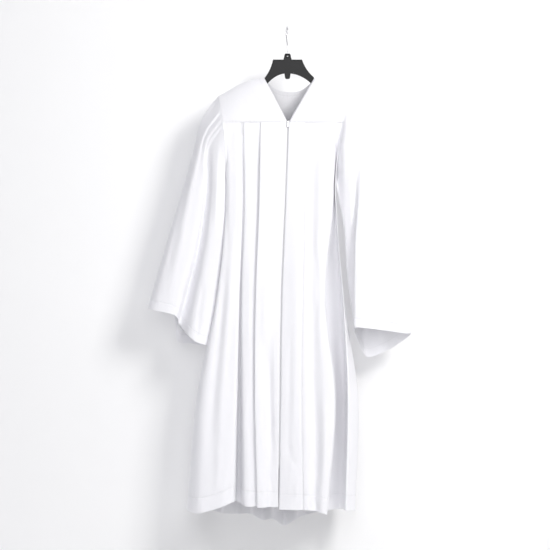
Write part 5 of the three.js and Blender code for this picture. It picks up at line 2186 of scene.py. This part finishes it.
FRONT_RIGHT_CREASES = (
    Crease(((84, -640), (92, -800), (84, -930)), 7, -2.4),
    Crease(((98, -330), (96, -520), (86, -760)), 14, 3),
    Crease(((72, -980), (84, -1150), (92, -1380)), 12, -4),
    Crease(((108, -1080), (112, -1220), (106, -1420)), 10, 4),
    Crease(((30, -520), (26, -900), (28, -1300)), 13, 2.6),
    Crease(((10, -880), (6, -1120), (2, -1400)), 8, -2.4),
    Crease(((2, -1240), (14, -1290), (30, -1320)), 8, -2.4),
    Crease(((36, -1330), (28, -1370), (24, -1430)), 7, 2.4),
    Crease(((66, -1260), (78, -1310), (96, -1340)), 8, -2.6),
    Crease(((88, -1350), (94, -1390), (90, -1440)), 7, 2.2),
)
BACK_CREASES = (
    Crease(((-150, -360), (-160, -700), (-186, -1200)), 12, 4),
    Crease(((-60, -350), (-64, -640), (-80, -1100)), 10, -3.4),
    Crease(((20, -350), (26, -760), (30, -1300)), 12, 3.6),
    Crease(((92, -350), (96, -600), (116, -980)), 9, -3),
    Crease(((140, -420), (150, -800), (176, -1250)), 10, 3.4),
)
SLEEVE_LEFT_CREASES = (
    Crease(((-252, -300), (-282, -440), (-312, -620), (-352, -820)), 11, 3),
    Crease(((-268, -330), (-318, -560), (-372, -800)), 9, -2.4),
    Crease(((-226, -330), (-232, -470), (-252, -700)), 8, -3),
    Crease(((-205, -330), (-208, -480), (-218, -640)), 7, 2.4),
    Crease(((-246, -760), (-262, -860), (-268, -940)), 8, -2.6),
)
SLEEVE_LEFT_BACK_CREASES = (
    Crease(((-240, -300), (-270, -480), (-320, -760)), 10, -3.4),
    Crease(((-216, -300), (-240, -520), (-282, -860)), 9, 3),
)
SLEEVE_RIGHT_CREASES = (
    Crease(((236, -340), (262, -520), (302, -760), (330, -890)), 12, -2.6),
    Crease(((252, -330), (286, -560), (334, -840)), 10, 2.4),
    Crease(((222, -300), (232, -420), (244, -560)), 6, -2.2),
    Crease(((186, -330), (190, -480), (196, -640)), 7, 2.4),
    Crease(((262, -640), (290, -780), (306, -900)), 11, 3),
)
SLEEVE_RIGHT_BACK_CREASES = (
    Crease(((214, -300), (240, -520), (290, -800)), 10, -3.2),
    Crease(((196, -300), (214, -560), (250, -900)), 9, 3),
)


WHITE = (0.872, 0.87, 0.9)
CLOTH = ClothFinish("robe cloth", WHITE, roughness=0.62)
SLEEVE_CLOTH = ClothFinish("sleeve cloth", WHITE, roughness=0.62, hem_row=SLEEVE_HEM_DEPTH * MM)
ZIP_TAPE = TapeFinish("zip tape", (0.84, 0.845, 0.86), roughness=0.8)
PLATED = PlatedFinish("plated metal", (0.74, 0.745, 0.76), roughness=0.22, metallic=1.0)
PLASTIC = MouldedFinish("hanger plastic", (0.011, 0.011, 0.0115), roughness=0.46)


def main() -> None:
    """Builds the robe, its zip, its hanger and the studio."""
    logging.basicConfig(level=logging.INFO, format="%(name)s: %(message)s")
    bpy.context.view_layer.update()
    groups = Groups(weave_group(), rumple_group(), stitch_group())
    finishes = (CLOTH, SLEEVE_CLOTH, ZIP_TAPE, PLATED, PLASTIC)
    cloth, sleeve_cloth, tape, plated, plastic = (finish.make(groups) for finish in finishes)
    Robe(cloth, sleeve_cloth).build()
    for thing in Zip(tape, plated).build() + Hanger(plastic, plated).build():
        log.info("%s: %d faces", thing.name, len(thing.data.polygons))
    Studio().build()


if __name__ == "__main__":
    main()
